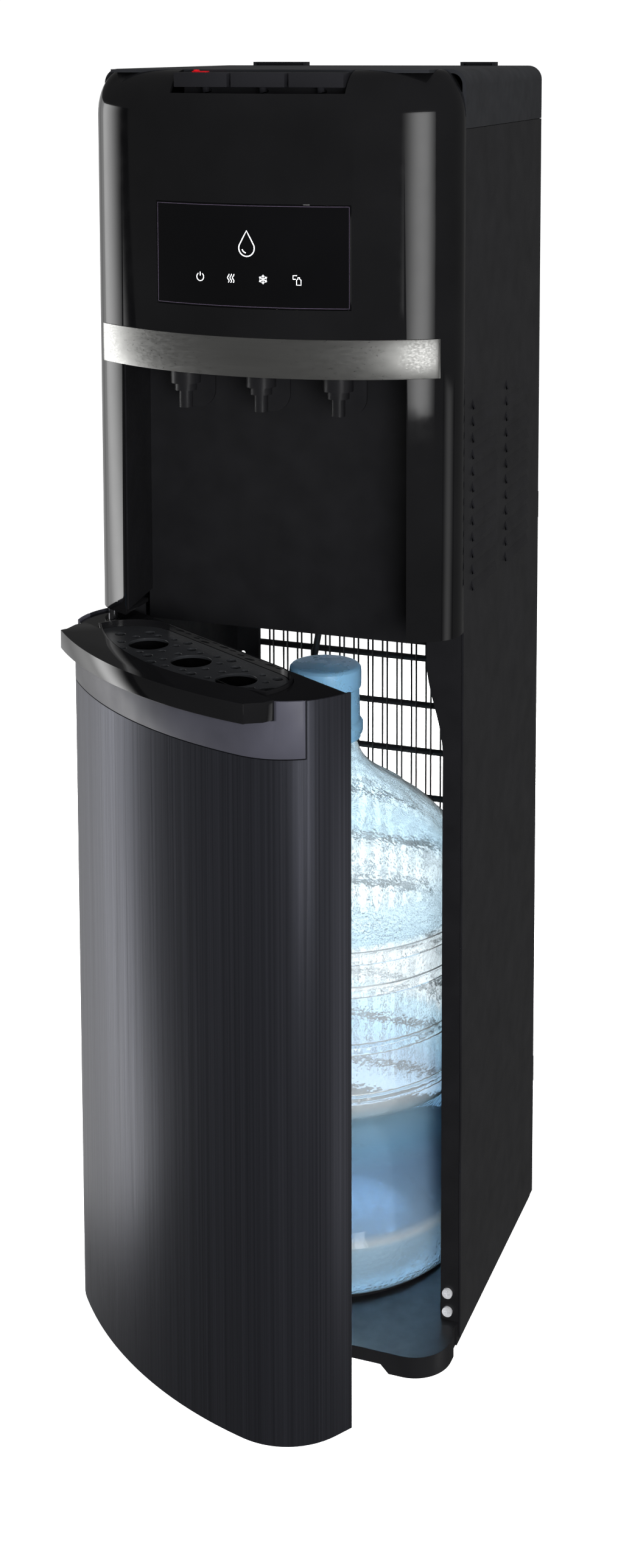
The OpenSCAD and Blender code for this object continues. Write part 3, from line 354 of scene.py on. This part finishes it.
def combine(piece, tool, operation):
    step = piece.modifiers.new("step", "BOOLEAN")
    step.operation = operation
    step.object = tool
    step.solver = "EXACT"
    baked(piece)
    bpy.data.objects.remove(tool)
    return piece


def cut(piece, tool):
    return combine(piece, tool, "DIFFERENCE")


def eased(piece, width, segments=2, angle=35):
    """Rounds the sharp edges and shades the rest smooth."""
    step = piece.modifiers.new("ease", "BEVEL")
    step.width = width
    step.segments = segments
    step.limit_method = "ANGLE"
    step.angle_limit = math.radians(angle)
    step.harden_normals = False
    baked(piece)
    return smooth(piece)


def smooth(piece, angle=32):
    piece.data.polygons.foreach_set("use_smooth", [True] * len(piece.data.polygons))
    piece.data.set_sharp_from_angle(angle=math.radians(angle))
    return piece


def lathe(name, profile, centre, material, sides=128, shape=None):
    """Turned piece: profile is a closed loop of radius and height; shape(angle, r, z) may move a point."""
    made = bmesh.new()
    columns = []
    for k in range(sides):
        a = 2 * math.pi * k / sides
        column = []
        for r, z in profile:
            r2, z2 = shape(a, r, z) if shape else (r, z)
            column.append(made.verts.new((centre[0] + r2 * math.cos(a), centre[1] + r2 * math.sin(a), z2)))
        columns.append(column)
    count = len(profile)
    for k in range(sides):
        here, there = columns[k], columns[(k + 1) % sides]
        for i in range(count):
            j = (i + 1) % count
            if profile[i][0] < 1e-6 and profile[j][0] < 1e-6:
                continue
            made.faces.new((here[i], there[i], there[j], here[j]))
    bmesh.ops.remove_doubles(made, verts=made.verts, dist=1e-6)
    bmesh.ops.dissolve_degenerate(made, edges=made.edges, dist=1e-7)
    bmesh.ops.recalc_face_normals(made, faces=made.faces)
    mesh = bpy.data.meshes.new(name)
    made.to_mesh(mesh)
    made.free()
    return smooth(add(name, mesh, material))


def tube(name, points, diameter, material, closed=False):
    """Round tube along points, as a curve."""
    data = bpy.data.curves.new(name, "CURVE")
    data.dimensions = "3D"
    data.bevel_depth = diameter / 2
    data.bevel_resolution = 6
    data.use_fill_caps = True
    line = data.splines.new("POLY")
    line.points.add(len(points) - 1)
    for point, place in zip(line.points, points):
        point.co = (*place, 1)
    line.use_cyclic_u = closed
    line.use_smooth = True
    piece = bpy.data.objects.new(name, data)
    bpy.context.collection.objects.link(piece)
    data.materials.append(material)
    return piece


def plate(name, outlines, z0, z1, ease, material):
    """Flat plate with holes: the first outline is its edge, the rest are holes. Its edges are eased."""
    data = bpy.data.curves.new(name, "CURVE")
    data.dimensions = "2D"
    data.fill_mode = "BOTH"
    data.extrude = (z1 - z0) / 2 - ease
    data.bevel_depth = ease
    data.bevel_resolution = 2
    data.offset = -ease
    for outline in outlines:
        line = data.splines.new("POLY")
        line.points.add(len(outline) - 1)
        for point, (x, y) in zip(line.points, outline):
            point.co = (x, y, 0, 1)
        line.use_cyclic_u = True
    piece = bpy.data.objects.new(name, data)
    bpy.context.collection.objects.link(piece)
    piece.location.z = (z0 + z1) / 2
    bpy.context.view_layer.update()
    graph = bpy.context.evaluated_depsgraph_get()
    mesh = bpy.data.meshes.new_from_object(piece.evaluated_get(graph))
    mesh.transform(piece.matrix_world)
    bpy.data.objects.remove(piece)
    made = add(name, mesh, material)
    return smooth(made)


def arc(cx, cy, r, start, end, steps):
    """Points on an arc; angles in degrees from +X."""
    turns = [math.radians(start + (end - start) * k / steps) for k in range(steps + 1)]
    return [(cx + r * math.cos(a), cy + r * math.sin(a)) for a in turns]


def circle(cx, cy, r, sides=32):
    return arc(cx, cy, r, 0, 360 * (1 - 1 / sides), sides - 1)


def bow_outline(half_w, apex, bow_r, corner_r, rear, inset=0.0):
    """Plan with flat sides, round front corners and one wide arc across the front."""
    fx = half_w - corner_r
    cy = apex + bow_r
    fy = cy - math.sqrt((bow_r - corner_r) ** 2 - fx ** 2)
    turn = math.degrees(math.asin(fx / (bow_r - corner_r)))
    points = [(-half_w + inset, rear)]
    points += arc(-fx, fy, corner_r - inset, -180, -90 - turn, 14)
    points += arc(0, cy, bow_r - inset, -90 - turn, -90 + turn, 48)[1:-1]
    points += arc(fx, fy, corner_r - inset, -90 + turn, 0, 14)
    return points + [(half_w - inset, rear)]


# ---------- Supply hose: a free cord ----------

HOSE_D = 6 * MM
HOSE_ROUTE = [
    (-26, 54, 580), (-27, 55, 568), (-29, 56, 556), (-32, 58, 544), (-35, 60, 531),
    (-38, 62, 518), (-42, 65, 505), (-46, 70, 492), (-50, 76, 480), (-54, 83, 468),
    (-57, 90, 456), (-60, 96, 443), (-62, 101, 429), (-63, 105, 414), (-63, 107, 398),
    (-63, 108, 382), (-63, 108, 366), (-64, 108, 350), (-68, 109, 336), (-77, 109, 326),
    (-90, 109, 322), (-103, 109, 326), (-112, 109, 336), (-116, 109, 350), (-117, 109, 366),
    (-117, 109, 382), (-117, 109, 398), (-117, 109, 413), (-117, 109, 428),
]


def make_hose():
    points = [tuple(v * MM for v in p) for p in HOSE_ROUTE]
    hose = tube("supply_hose_tube", points, HOSE_D, finish["hose_black"])
    show(hose, "supply_hose")


make_hose()

# ---------- Plans shared by the front pieces ----------

WALL = 3 * MM
FASCIA_BOW_R = 260.125 * MM
FASCIA_CORNER_R = 32 * MM
DOOR_BOW_R = 350 * MM
DOOR_CORNER_R = 60 * MM
DOOR_DEPTH = 91 * MM
SKIN = 2.2 * MM

fascia_lo, fascia_hi = lo_hi("fascia")
window_lo, window_hi = lo_hi("display_window")
band_lo, band_hi = lo_hi("steel_band")
liner_lo, liner_hi = lo_hi("alcove_liner")
panel_lo, panel_hi = lo_hi("side_panel_right")
ALCOVE_HW = 121 * MM
half_w = fascia_hi.x


def fascia_outline(inset, rear=None):
    rear = fascia_hi.y if rear is None else rear
    return bow_outline(half_w, fascia_lo.y, FASCIA_BOW_R, FASCIA_CORNER_R, rear, inset)


def fascia_surface(x):
    """Depth of the bowed front at x, and its turn about Z."""
    return fascia_lo.y + FASCIA_BOW_R - math.sqrt(FASCIA_BOW_R ** 2 - x * x), math.asin(x / FASCIA_BOW_R)


# The door is modelled closed, then swung to where its frame stands
joint = {j["name"]: j for j in frame["record"]["behaviour"]["joints"]}
hinge = Vector(joint["door_hinge"]["pos_m"])
AJAR = math.radians(-joint["door_hinge"]["range_deg"][0])
swing = Matrix.Translation(hinge) @ Matrix.Rotation(-AJAR, 4, "Z") @ Matrix.Translation(-hinge)

DOOR_HW = 153 * MM
DOOR_GAP = 4 * MM
skin_lo, skin_hi = lo_hi("door_skin")
insert_lo, insert_hi = lo_hi("door_insert")
tray_lo, tray_hi = lo_hi("drip_tray")
grille_lo, grille_hi = lo_hi("tray_grille")
door_rear = fascia_hi.y - DOOR_GAP
door_apex = door_rear - DOOR_DEPTH
door_top = skin_hi.z


def door_outline(inset, rear=None):
    rear = door_rear if rear is None else rear
    return bow_outline(DOOR_HW, door_apex, DOOR_BOW_R, DOOR_CORNER_R, rear, inset)


def swung(piece):
    piece.data.transform(swing)
    return piece


# ---------- Fascia ----------

ROUND = 37 * MM
ROUND_SIDE = 20 * MM
LID = 2.6 * MM


def rounded_shell(name, inset, z0, rear, material, lowered=0.0):
    """Bowed solid whose top edge is rounded, more at the front than at the sides."""
    top = fascia_hi.z - inset
    flat = top - (ROUND - inset)
    base = fascia_outline(inset, rear)
    rings = [[(x, y, z0) for x, y in base]]
    steps = 12
    for k in range(steps + 1):
        t = math.radians(90 * k / steps)
        shrink = 1 - math.cos(t)
        rise = (ROUND - inset) * math.sin(t)
        side = 1 - shrink * (ROUND_SIDE - inset / 2) / half_w
        reach = fascia_hi.y - fascia_lo.y
        front = 1 - shrink * (ROUND - inset) / reach
        ring = []
        for x, y in base:
            moved = fascia_hi.y + (y - fascia_hi.y) * front if y < fascia_hi.y else y
            ring.append((x * side, moved, min(flat + rise, top - lowered)))
        rings.append(ring)
    return solid(name, rings, material)


def make_fascia():
    black = finish["gloss_black"]
    shell = rounded_shell("fascia_shell", 0.0, fascia_lo.z, fascia_hi.y, black)
    cut(shell, rounded_shell("hollow", WALL, fascia_lo.z + WALL, fascia_hi.y + 2 * MM, black, LID))
    lid_hw = half_w - 20.5 * MM + 0.3 * MM
    low = (-lid_hw, lo_hi("top_cover")[0].y - 0.3 * MM, fascia_hi.z - LID)
    cut(shell, block("lid", low, (lid_hw, fascia_hi.y + 0.01, fascia_hi.z + 0.01), black))
    low = (-ALCOVE_HW, fascia_lo.y - 0.01, fascia_lo.z - 0.01)
    cut(shell, block("alcove", low, (ALCOVE_HW, fascia_hi.y + 0.01, band_lo.z), black))
    gap = 0.3 * MM
    low = (window_lo.x - gap, fascia_lo.y - 0.01, window_lo.z - gap)
    cut(shell, block("window", low, (window_hi.x + gap, fascia_lo.y + 0.02, window_hi.z + gap), black))
    left, right = lo_hi("button_hot"), lo_hi("button_cold")
    low = (left[0].x - 2 * MM, fascia_lo.y - 0.01, right[1].z - 16 * MM)
    cut(shell, block("buttons", low, (right[1].x + 2 * MM, right[1].y + 1 * MM, fascia_hi.z + 0.02), black))
    for_pin = circle(hinge.x, hinge.y, 5.5 * MM)
    cut(shell, prism("pin", for_pin, fascia_lo.z - 0.01, fascia_lo.z + 2 * WALL, black))
    eased(shell, 0.7 * MM)
    show(shell, "fascia")


def make_band():
    stand = 0.8 * MM
    reach = 45 * MM
    outer = [(x, y) for x, y in fascia_outline(-stand) if abs(x) < half_w - 10 * MM and y < fascia_lo.y + reach]
    inner = [(x, y) for x, y in fascia_outline(0) if abs(x) < half_w - 10 * MM and y < fascia_lo.y + reach]
    band = prism("steel_band_strip", outer + inner[::-1], band_lo.z, band_hi.z, finish["band_steel"])
    eased(band, 0.35 * MM)
    show(band, "steel_band")


def make_window():
    outer = [(x, y) for x, y in fascia_outline(0.2 * MM) if abs(x) < window_hi.x]
    inner = [(x, y) for x, y in fascia_outline(WALL) if abs(x) < window_hi.x]
    ends = []
    for edge in (window_lo.x, window_hi.x):
        depth, _ = fascia_surface(edge)
        ends.append((edge, depth + 0.2 * MM))
    back = [(x, fascia_surface(x)[0] + WALL) for x in (window_hi.x, window_lo.x)]
    outline = [ends[0], *outer, ends[1], back[0], *inner[::-1], back[1]]
    window = prism("display_glass_pane", outline, window_lo.z, window_hi.z, finish["display_glass"])
    eased(window, 0.3 * MM)
    show(window, "display_window")


# ---------- Icons on the display ----------

ICON = 11 * MM


def on_display(name, lines, x, z, size, width, material):
    """Thin strokes on the glass: each line is a list of points in a unit square about x, z."""
    depth, turn = fascia_surface(x)
    place = Matrix.Translation((x, depth + 0.1 * MM, z)) @ Matrix.Rotation(turn, 4, "Z")
    data = bpy.data.curves.new(name, "CURVE")
    data.dimensions = "3D"
    data.bevel_depth = width / 2
    data.bevel_resolution = 2
    data.use_fill_caps = True
    for points in lines:
        line = data.splines.new("POLY")
        closed = points[0] == points[-1]
        points = points[:-1] if closed else points
        line.points.add(len(points) - 1)
        for point, (u, v) in zip(line.points, points):
            point.co = (*(place @ Vector((u * size, 0, v * size))), 1)
        line.use_cyclic_u = closed
    piece = bpy.data.objects.new(name, data)
    bpy.context.collection.objects.link(piece)
    data.materials.append(material)
    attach(piece, body_of["display_window"])
    return piece


def ringed(points):
    return points + points[:1]


def icon_power():
    return [arc(0, 0, 0.42, 125, 415, 20), [(0, 0.12), (0, 0.52)]]


def icon_heat():
    wave = [(0.09 * math.sin(math.radians(k * 30)), -0.45 + 0.9 * k / 16) for k in range(17)]
    return [[(u + shift, v) for u, v in wave] for shift in (-0.28, 0, 0.28)]


def icon_snow():
    lines = []
    for k in range(6):
        c, s = math.cos(math.radians(60 * k + 30)), math.sin(math.radians(60 * k + 30))
        lines.append([(0, 0), (0.48 * c, 0.48 * s)])
        for side in (-1, 1):
            b, d = math.cos(math.radians(60 * k + 30 + 55 * side)), math.sin(math.radians(60 * k + 30 + 55 * side))
            lines.append([(0.27 * c, 0.27 * s), (0.27 * c + 0.16 * b, 0.27 * s + 0.16 * d)])
    return lines


def icon_bottle():
    body = [(-0.05, -0.5), (0.42, -0.5), (0.42, 0.02), (0.27, 0.14), (0.27, 0.28), (0.1, 0.28), (0.1, 0.14),
            (-0.05, 0.02)]
    return [ringed(body), [(-0.42, 0.1), (-0.42, 0.48), (0, 0.48)], [(-0.42, 0.1), (-0.14, 0.1)]]


def icon_drop():
    """A plain droplet: two flanks and a round foot."""
    foot = arc(0, -0.16, 0.34, 160, 380, 20)
    points = foot + [(0.17, 0.24), (0, 0.55), (-0.17, 0.24)]
    return [ringed(points), arc(0, -0.16, 0.2, 195, 260, 6)]


def make_icons():
    row_z = window_lo.z + 23 * MM
    first = -40 * MM
    pitch = 27 * MM
    makers = (("power", icon_power), ("heat", icon_heat), ("snow", icon_snow), ("bottle", icon_bottle))
    for k, (word, make) in enumerate(makers):
        on_display(f"icon_{word}", make(), first + k * pitch, row_z, 7.5 * MM, 0.7 * MM, icon_white)
    on_display("icon_drop", icon_drop(), first + 1.5 * pitch, window_lo.z + 50 * MM, 19 * MM, 0.9 * MM, icon_white)


def make_outline():
    inset = 1.2 * MM
    z0, z1 = window_lo.z + inset, window_hi.z - inset
    steps = 24
    xs = [window_lo.x + inset + (window_hi.x - window_lo.x - 2 * inset) * k / steps for k in range(steps + 1)]
    row = [(x, fascia_surface(x)[0] + 0.15 * MM) for x in xs]
    points = [(x, y, z0) for x, y in row] + [(x, y, z1) for x, y in reversed(row)]
    line = tube("display_outline", points, 0.45 * MM, outline_violet, closed=True)
    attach(line, body_of["display_window"])


# ---------- Buttons ----------

BUTTON_H = 11.5 * MM
STEM_R = 3 * MM


def make_button(node):
    low, high = lo_hi(node)
    face = (low.x, low.y, high.z - BUTTON_H)
    made = block(f"{node}_key", face, high, finish["button_black"])
    hollow = (low.x + 2 * MM, low.y + 2 * MM, face[2] - 0.01)
    cut(made, block("hollow", hollow, (high.x - 2 * MM, high.y - 2 * MM, high.z - 2.2 * MM), finish["button_black"]))
    stem = circle((low.x + high.x) / 2, (low.y + high.y) / 2, STEM_R, 24)
    combine(made, prism("stem", stem, low.z, high.z - 2 * MM, finish["button_black"]), "UNION")
    if node == "button_hot":
        lock_lo, lock_hi = lo_hi("child_lock")
        pocket = (lock_lo.x - 1 * MM, lock_lo.y - 0.3 * MM, high.z - 1.5 * MM)
        far = (lock_lo.x + 21 * MM, lock_hi.y + 0.3 * MM, high.z + 0.01)
        cut(made, block("pocket", pocket, far, finish["button_black"]))
    eased(made, 0.45 * MM)
    show(made, node)


def make_lock():
    low, high = lo_hi("child_lock")
    base_h = 2.4 * MM
    made = block("child_lock_catch", low, (high.x, high.y, low.z + base_h), finish["lock_red"])
    thumb = (low.x + 1 * MM, low.y + 1 * MM, low.z + base_h - 0.2 * MM)
    combine(made, block("thumb", thumb, (low.x + 4 * MM, high.y - 1 * MM, high.z), finish["lock_red"]), "UNION")
    eased(made, 0.3 * MM)
    show(made, "child_lock")


# ---------- Door ----------

SEAM = 0.6 * MM
SIDE_SEAM = 38 * MM


def ring_part(outer, inner):
    return outer + inner[::-1]


def make_door_skin():
    steel = finish["door_brushed"]
    ring = ring_part(door_outline(0), door_outline(SKIN))
    skin = prism("door_skin_shell", ring, skin_lo.z, door_top, steel)
    low = (-0.2, door_apex - 0.05, insert_lo.z - SEAM)
    cut(skin, block("insert_room", low, (0.2, door_rear - SIDE_SEAM, door_top + 0.01), steel))
    eased(skin, 0.5 * MM)
    show(swung(skin), "door_skin")


def make_door_insert():
    grey = finish["insert_grey"]
    ring = ring_part(door_outline(0), door_outline(SKIN))
    insert = prism("door_insert_panel", ring, insert_lo.z, door_top, grey)
    low = (-0.2, door_rear - SIDE_SEAM - SEAM, insert_lo.z - 0.01)
    cut(insert, block("behind", low, (0.2, door_rear + 0.05, door_top + 0.01), grey))
    lip_edge = door_apex + LENS_SET + LIP_BACK + 0.5 * MM
    low = (-0.2, door_apex - 0.05, door_top - 14.5 * MM)
    cut(insert, block("lip_room", low, (0.2, lip_edge, door_top + 0.01), grey))
    eased(insert, 0.35 * MM)
    show(swung(insert), "door_insert")


GRILLE_HW = 113 * MM
GRILLE_D = 71 * MM
BULGE = 30 * MM
LENS_CORNER = 38 * MM
LENS_SET = 13 * MM
LIP_BACK = 21 * MM


def lens_outline(grow, rounded=4 * MM):
    """Plan of the grille: bowed at the front, round corners at the rear."""
    front = door_apex + LENS_SET
    rear = front + GRILLE_D
    bow_r = (GRILLE_HW ** 2 + BULGE ** 2) / (2 * BULGE) + grow
    centre = front + bow_r - grow
    edge = math.degrees(math.asin((GRILLE_HW + grow) / bow_r))
    points = arc(0, centre, bow_r, -90 - edge, -90 + edge, 40)
    points += arc(GRILLE_HW - LENS_CORNER, rear - LENS_CORNER, LENS_CORNER + grow, 0, 90, 12)
    points += arc(-GRILLE_HW + LENS_CORNER, rear - LENS_CORNER, LENS_CORNER + grow, 90, 180, 12)
    return points


RIM = 2.5 * MM
LIP_H = 15 * MM
LIP_REACH = 13 * MM
LIP_X = 6 * MM
LIP_CORNER = 123 * MM
LIP_END = 129 * MM


def make_drip_tray():
    black = finish["gloss_black"]
    top = tray_hi.z
    bow_r = DOOR_BOW_R + LIP_REACH
    bow_y = door_apex + DOOR_BOW_R
    back = door_apex + LENS_SET + LIP_BACK
    front = []
    for k in range(49):
        x = LIP_X - LIP_CORNER + 2 * LIP_CORNER * k / 48
        front.append((x, bow_y - math.sqrt(bow_r ** 2 - x * x)))
    ends = ((LIP_CORNER, -21.5 * MM), (LIP_END, -10 * MM), (LIP_END, 0.0))
    right = [(LIP_X + x, back + y) for x, y in ends]
    left = [(LIP_X - x, back + y) for x, y in reversed(ends)]
    body = prism("drip_tray_body", front + right + left, top - LIP_H, top, black)
    combine(body, prism("basin_outside", lens_outline(RIM), tray_lo.z, top, black), "UNION")
    cut(body, prism("seat", lens_outline(0.4 * MM), grille_lo.z, top + 0.01, black))
    cut(body, prism("basin", lens_outline(-3 * MM), tray_lo.z + 2.5 * MM, top + 0.01, black))
    eased(body, 1.1 * MM, 3)
    show(swung(body), "drip_tray")


HOLE_PITCH = 60 * MM


def make_grille():
    mid_y = door_apex + LENS_SET + GRILLE_D * 0.52
    outlines = [lens_outline(0)]
    for i in (-1, 0, 1):
        cx = LIP_X + i * HOLE_PITCH
        outlines.append(circle(cx, mid_y, 16 * MM, 48)[::-1])
        for k in range(8):
            a = math.radians(38 + 45 * k)
            outlines.append(circle(cx + 23 * MM * math.cos(a), mid_y + 23 * MM * math.sin(a), 2.9 * MM, 20)[::-1])
        for k in range(4):
            a = math.radians(55 + 90 * k)
            outlines.append(circle(cx + 31.5 * MM * math.cos(a), mid_y + 31.5 * MM * math.sin(a), 4 * MM, 20)[::-1])
    outlines.append(circle(LIP_X - HOLE_PITCH - 37 * MM, mid_y - 3 * MM, 4 * MM, 20)[::-1])
    outlines.append(circle(LIP_X + HOLE_PITCH + 35 * MM, mid_y + 4 * MM, 7 * MM, 28)[::-1])
    grille = plate("tray_grille_plate", outlines, grille_lo.z, grille_hi.z, 0.5 * MM, finish["grille_black"])
    show(swung(grille), "tray_grille")


# ---------- Bottle ----------

bottle_lo, bottle_hi = lo_hi("bottle")
cap_lo, cap_hi = lo_hi("bottle_cap")
bottle_r = (bottle_hi.x - bottle_lo.x) / 2
bottle_c = ((bottle_lo.x + bottle_hi.x) / 2, (bottle_lo.y + bottle_hi.y) / 2)
NECK_R = 27 * MM


def bottle_profile():
    """Outside of the bottle from the foot up: height above the foot in mm, and how far inside the full radius."""
    rows = [
        (12, 132), (12, 72), (6, 52), (1, 34), (0, 20), (2, 9), (8, 3), (16, 0.6), (30, 0), (46, 0), (50, 1), (54, 5),
        (60, 6), (84, 7), (96, 8), (112, 10), (118, 12), (140, 12), (150, 10), (158, 5), (162, 3.2), (171, 3.2),
        (173, 5.2), (175.5, 6), (178, 5.2), (180, 3.2), (214, 3.2), (216.5, 5.2), (219, 6), (221.5, 5.2), (224, 3.2),
        (264, 3.2), (266.5, 4.8), (269, 5.4), (271.5, 4.8), (274, 2.4), (293, 1.2), (296, 3.2), (298.5, 4), (301, 3.2),
        (304, 0.5), (310, 0), (322, 0), (330, 1.5), (336, 5), (341, 8), (345, 10), (350, 11), (356, 13), (362, 19),
        (367, 25), (371, 30), (376, 33), (381, 39), (386, 46), (390, 52), (395, 57), (401, 66), (407, 76), (413, 85),
        (419, 92), (426, 98), (433, 102), (440, 104.5), (450, 105), (456, 103), (459, 103), (462, 105), (470, 105),
    ]
    foot = bottle_lo.z
    outside = [(max(0.0, bottle_r - inset * MM), foot + z * MM) for z, inset in rows]
    outside[0] = (0.0, outside[0][1])
    return outside + [(NECK_R, bottle_hi.z)]


def pressed(a, r, z):
    """Moulded relief: flutes round the shoulder, fine upright ribs on the middle and broad waves below."""
    up = (z - bottle_lo.z) / MM
    if 336 < up < 420:
        r += 0.9 * MM * math.cos(14 * a) * math.sin(math.pi * (up - 336) / 84)
    if 164 <= up <= 262 and r > bottle_r - 8 * MM:
        r -= 0.6 * MM * (0.5 + 0.5 * math.cos(72 * a))
    if 56 < up < 120:
        r += 2.2 * MM * math.cos(4 * a + 0.6) * math.sin(math.pi * (up - 56) / 64)
    return r, z


def make_bottle():
    wall = 1.8 * MM
    outside = bottle_profile()
    inside = []
    count = len(outside)
    for i in range(count):
        before, after = outside[max(i - 1, 0)], outside[min(i + 1, count - 1)]
        dr, dz = after[0] - before[0], after[1] - before[1]
        length = math.hypot(dr, dz) or 1
        r, z = outside[i]
        inside.append((max(0.0, r - wall * dz / length), z + wall * dr / length))
    inside[0] = (0.0, outside[0][1] + wall)
    inside[-1] = (NECK_R - wall, outside[-1][1])
    bottle = lathe("bottle_shell", outside + inside[::-1], bottle_c, finish["bottle_blue"], 288, pressed)
    show(bottle, "bottle")


def make_cap():
    top, low = cap_hi.z, cap_lo.z
    ring = low + 4 * MM
    r = 31.5 * MM
    outside = [
        (0, top), (r - 4.5 * MM, top), (r - 2 * MM, top - 0.7 * MM), (r - 0.4 * MM, top - 2.4 * MM), (r, top - 5 * MM),
        (r, top - 17 * MM), (r - 0.4 * MM, top - 19 * MM), (r - 1.6 * MM, top - 20 * MM), (r - 1.8 * MM, top - 22 * MM),
        (r - 1.0 * MM, ring + 12 * MM), (r + 0.4 * MM, ring + 10.6 * MM), (r + 1.4 * MM, ring + 9 * MM),
        (r + 1.5 * MM, ring + 2 * MM), (r + 1 * MM, ring + 0.4 * MM), (r - 0.6 * MM, ring - 0.8 * MM), (r - 0.6 * MM, low),
    ]
    bore = NECK_R + 0.2 * MM
    inside = [(bore, low), (bore, top - 3.6 * MM), (0, top - 3.6 * MM)]
    cap = lathe("bottle_cap_shell", outside + inside, bottle_c, finish["cap_blue"], 96)
    show(cap, "bottle_cap")
    rib = block("bottle_cap_rib", (-1.2 * MM, -r - 0.2 * MM, ring + 13 * MM), (1.2 * MM, -r + 2 * MM, top - 24 * MM),
                finish["cap_blue"])
    eased(rib, 0.4 * MM)
    rib.data.transform(Matrix.Translation((*bottle_c, 0)) @ Matrix.Rotation(math.radians(38), 4, "Z"))
    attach(rib, body_of["bottle_cap"])


# ---------- Everything else keeps its frame shape ----------


def dress_frame():
    for name, node in frame["nodes"].items():
        node.data.materials.clear()
        node.data.materials.append(finish[slot_of[name]])


# ---------- Studio ----------


def round_about(degrees, distance, height):
    """Place round the object: 0 is in front, 90 at its right."""
    a = math.radians(degrees)
    return Vector((distance * math.sin(a), -distance * math.cos(a), height))


def softbox(name, azimuth, distance, low, high, levels):
    """Upright glowing panel that faces the object. levels are pairs of azimuth and brightness across it."""
    half = max(abs(distance * math.tan(math.radians(a - azimuth))) for a, _ in levels)
    outline = [(-half, low, 0), (half, low, 0), (half, high, 0), (-half, high, 0)]
    mesh = bpy.data.meshes.new(name)
    mesh.from_pydata(outline, [], [(0, 1, 2, 3)])
    glowing = Nodes(name)
    split = glowing.new("ShaderNodeSeparateXYZ")
    glowing.link(glowing.place, split.inputs[0])
    across = glowing.ranged(split.outputs["X"], 0, 1, -half, half)
    ramp = glowing.new("ShaderNodeValToRGB")
    ramp.color_ramp.interpolation = "EASE"
    while len(ramp.color_ramp.elements) < len(levels):
        ramp.color_ramp.elements.new(0.5)
    peak = max(level for _, level in levels)
    for stop, (a, level) in zip(ramp.color_ramp.elements, levels):
        stop.position = (distance * math.tan(math.radians(a - azimuth)) / half + 1) / 2
        stop.color = (*[level / peak] * 3, 1)
    glowing.link(across, ramp.inputs["Fac"])
    emission = glowing.new("ShaderNodeEmission")
    emission.inputs["Strength"].default_value = peak
    glowing.link(ramp.outputs["Color"], emission.inputs["Color"])
    glowing.link(emission.outputs[0], glowing.tree.nodes["Material Output"].inputs["Surface"])
    panel = add(name, mesh, glowing.material)
    a = math.radians(azimuth)
    across_axis = Vector((math.cos(a), math.sin(a), 0))
    facing = Vector((-math.sin(a), math.cos(a), 0))
    up = Vector((0, 0, 1))
    turn = Matrix((across_axis, up, -facing)).transposed().to_4x4()
    panel.matrix_world = Matrix.Translation(round_about(azimuth, distance, 0)) @ turn
    panel.visible_camera = False
    panel.visible_transmission = False


def fill(name, place, aim, size, power, glossy=False):
    """Soft lamp that lights the object without showing in its gloss."""
    data = bpy.data.lights.new(name, "AREA")
    data.shape = "DISK"
    data.size = size
    data.energy = power
    lamp = bpy.data.objects.new(name, data)
    bpy.context.collection.objects.link(lamp)
    lamp.location = place
    lamp.rotation_mode = "QUATERNION"
    lamp.rotation_quaternion = (Vector(aim) - Vector(place)).to_track_quat("-Z", "Y")
    lamp.visible_glossy = glossy


def make_floor():
    pale = Nodes("floor_pale")
    pale.colour(pale.noise(3), (0.78, 0.78, 0.78), (0.82, 0.82, 0.82))
    pale.rough(pale.noise(8), 0.6, 0.7)
    pale.set(Emission_Color=(1, 1, 1, 1), Emission_Strength=1.2)
    reach = 30
    outline = [(-reach, -reach), (reach, -reach), (reach, reach), (-reach, reach)]
    floor = prism("floor", outline, -0.02, -0.0005, pale.material)
    floor.visible_glossy = False
    floor.visible_diffuse = False
    floor.visible_shadow = False


def make_world():
    """White backdrop, dim to everything but the eye and what is seen through clear pieces."""
    world = bpy.data.worlds.new("studio")
    bpy.context.scene.world = world
    world.use_nodes = True
    tree = world.node_tree
    back = tree.nodes["Background"]
    back.inputs["Color"].default_value = (1, 1, 1, 1)
    path = tree.nodes.new("ShaderNodeLightPath")
    most = tree.nodes.new("ShaderNodeMath")
    most.operation = "MAXIMUM"
    tree.links.new(path.outputs["Is Camera Ray"], most.inputs[0])
    tree.links.new(path.outputs["Is Transmission Ray"], most.inputs[1])
    level = tree.nodes.new("ShaderNodeMapRange")
    level.inputs["To Min"].default_value = 0.08
    level.inputs["To Max"].default_value = 1.05
    tree.links.new(most.outputs["Value"], level.inputs["Value"])
    tree.links.new(level.outputs["Result"], back.inputs["Strength"])


def make_studio():
    make_floor()
    make_world()
    softbox("panel_left", -106, 1.6, -1.0, 1.25, [(-140, 0.5), (-110, 0.7), (-94, 1.6), (-86, 4.2), (-75, 0)])
    softbox("panel_right", 43, 2.2, 0.0, 1.3, [(35, 0), (43, 4.2), (51, 0)])
    softbox("panel_side", 92, 1.6, -1.2, 0.35, [(72, 0), (90, 0.8), (112, 0)])
    fill("lamp_top", (0.5, -0.4, 2.6), (0, 0, 1.0), 1.2, 26)
    fill("lamp_bay", (0.95, -1.9, 0.9), (0.05, 0, 0.25), 0.7, 55)
    fill("lamp_rear", (-0.5, 1.5, 0.8), (0, 0, 0.35), 0.9, 40)
    bpy.context.scene.view_settings.view_transform = "Standard"


make_fascia()
make_band()
make_window()
make_icons()
make_outline()
for button in ("button_hot", "button_room", "button_cold"):
    make_button(button)
make_lock()
make_door_skin()
make_door_insert()
make_drip_tray()
make_grille()
make_bottle()
make_cap()
dress_frame()
make_studio()

bpy.context.view_layer.update()
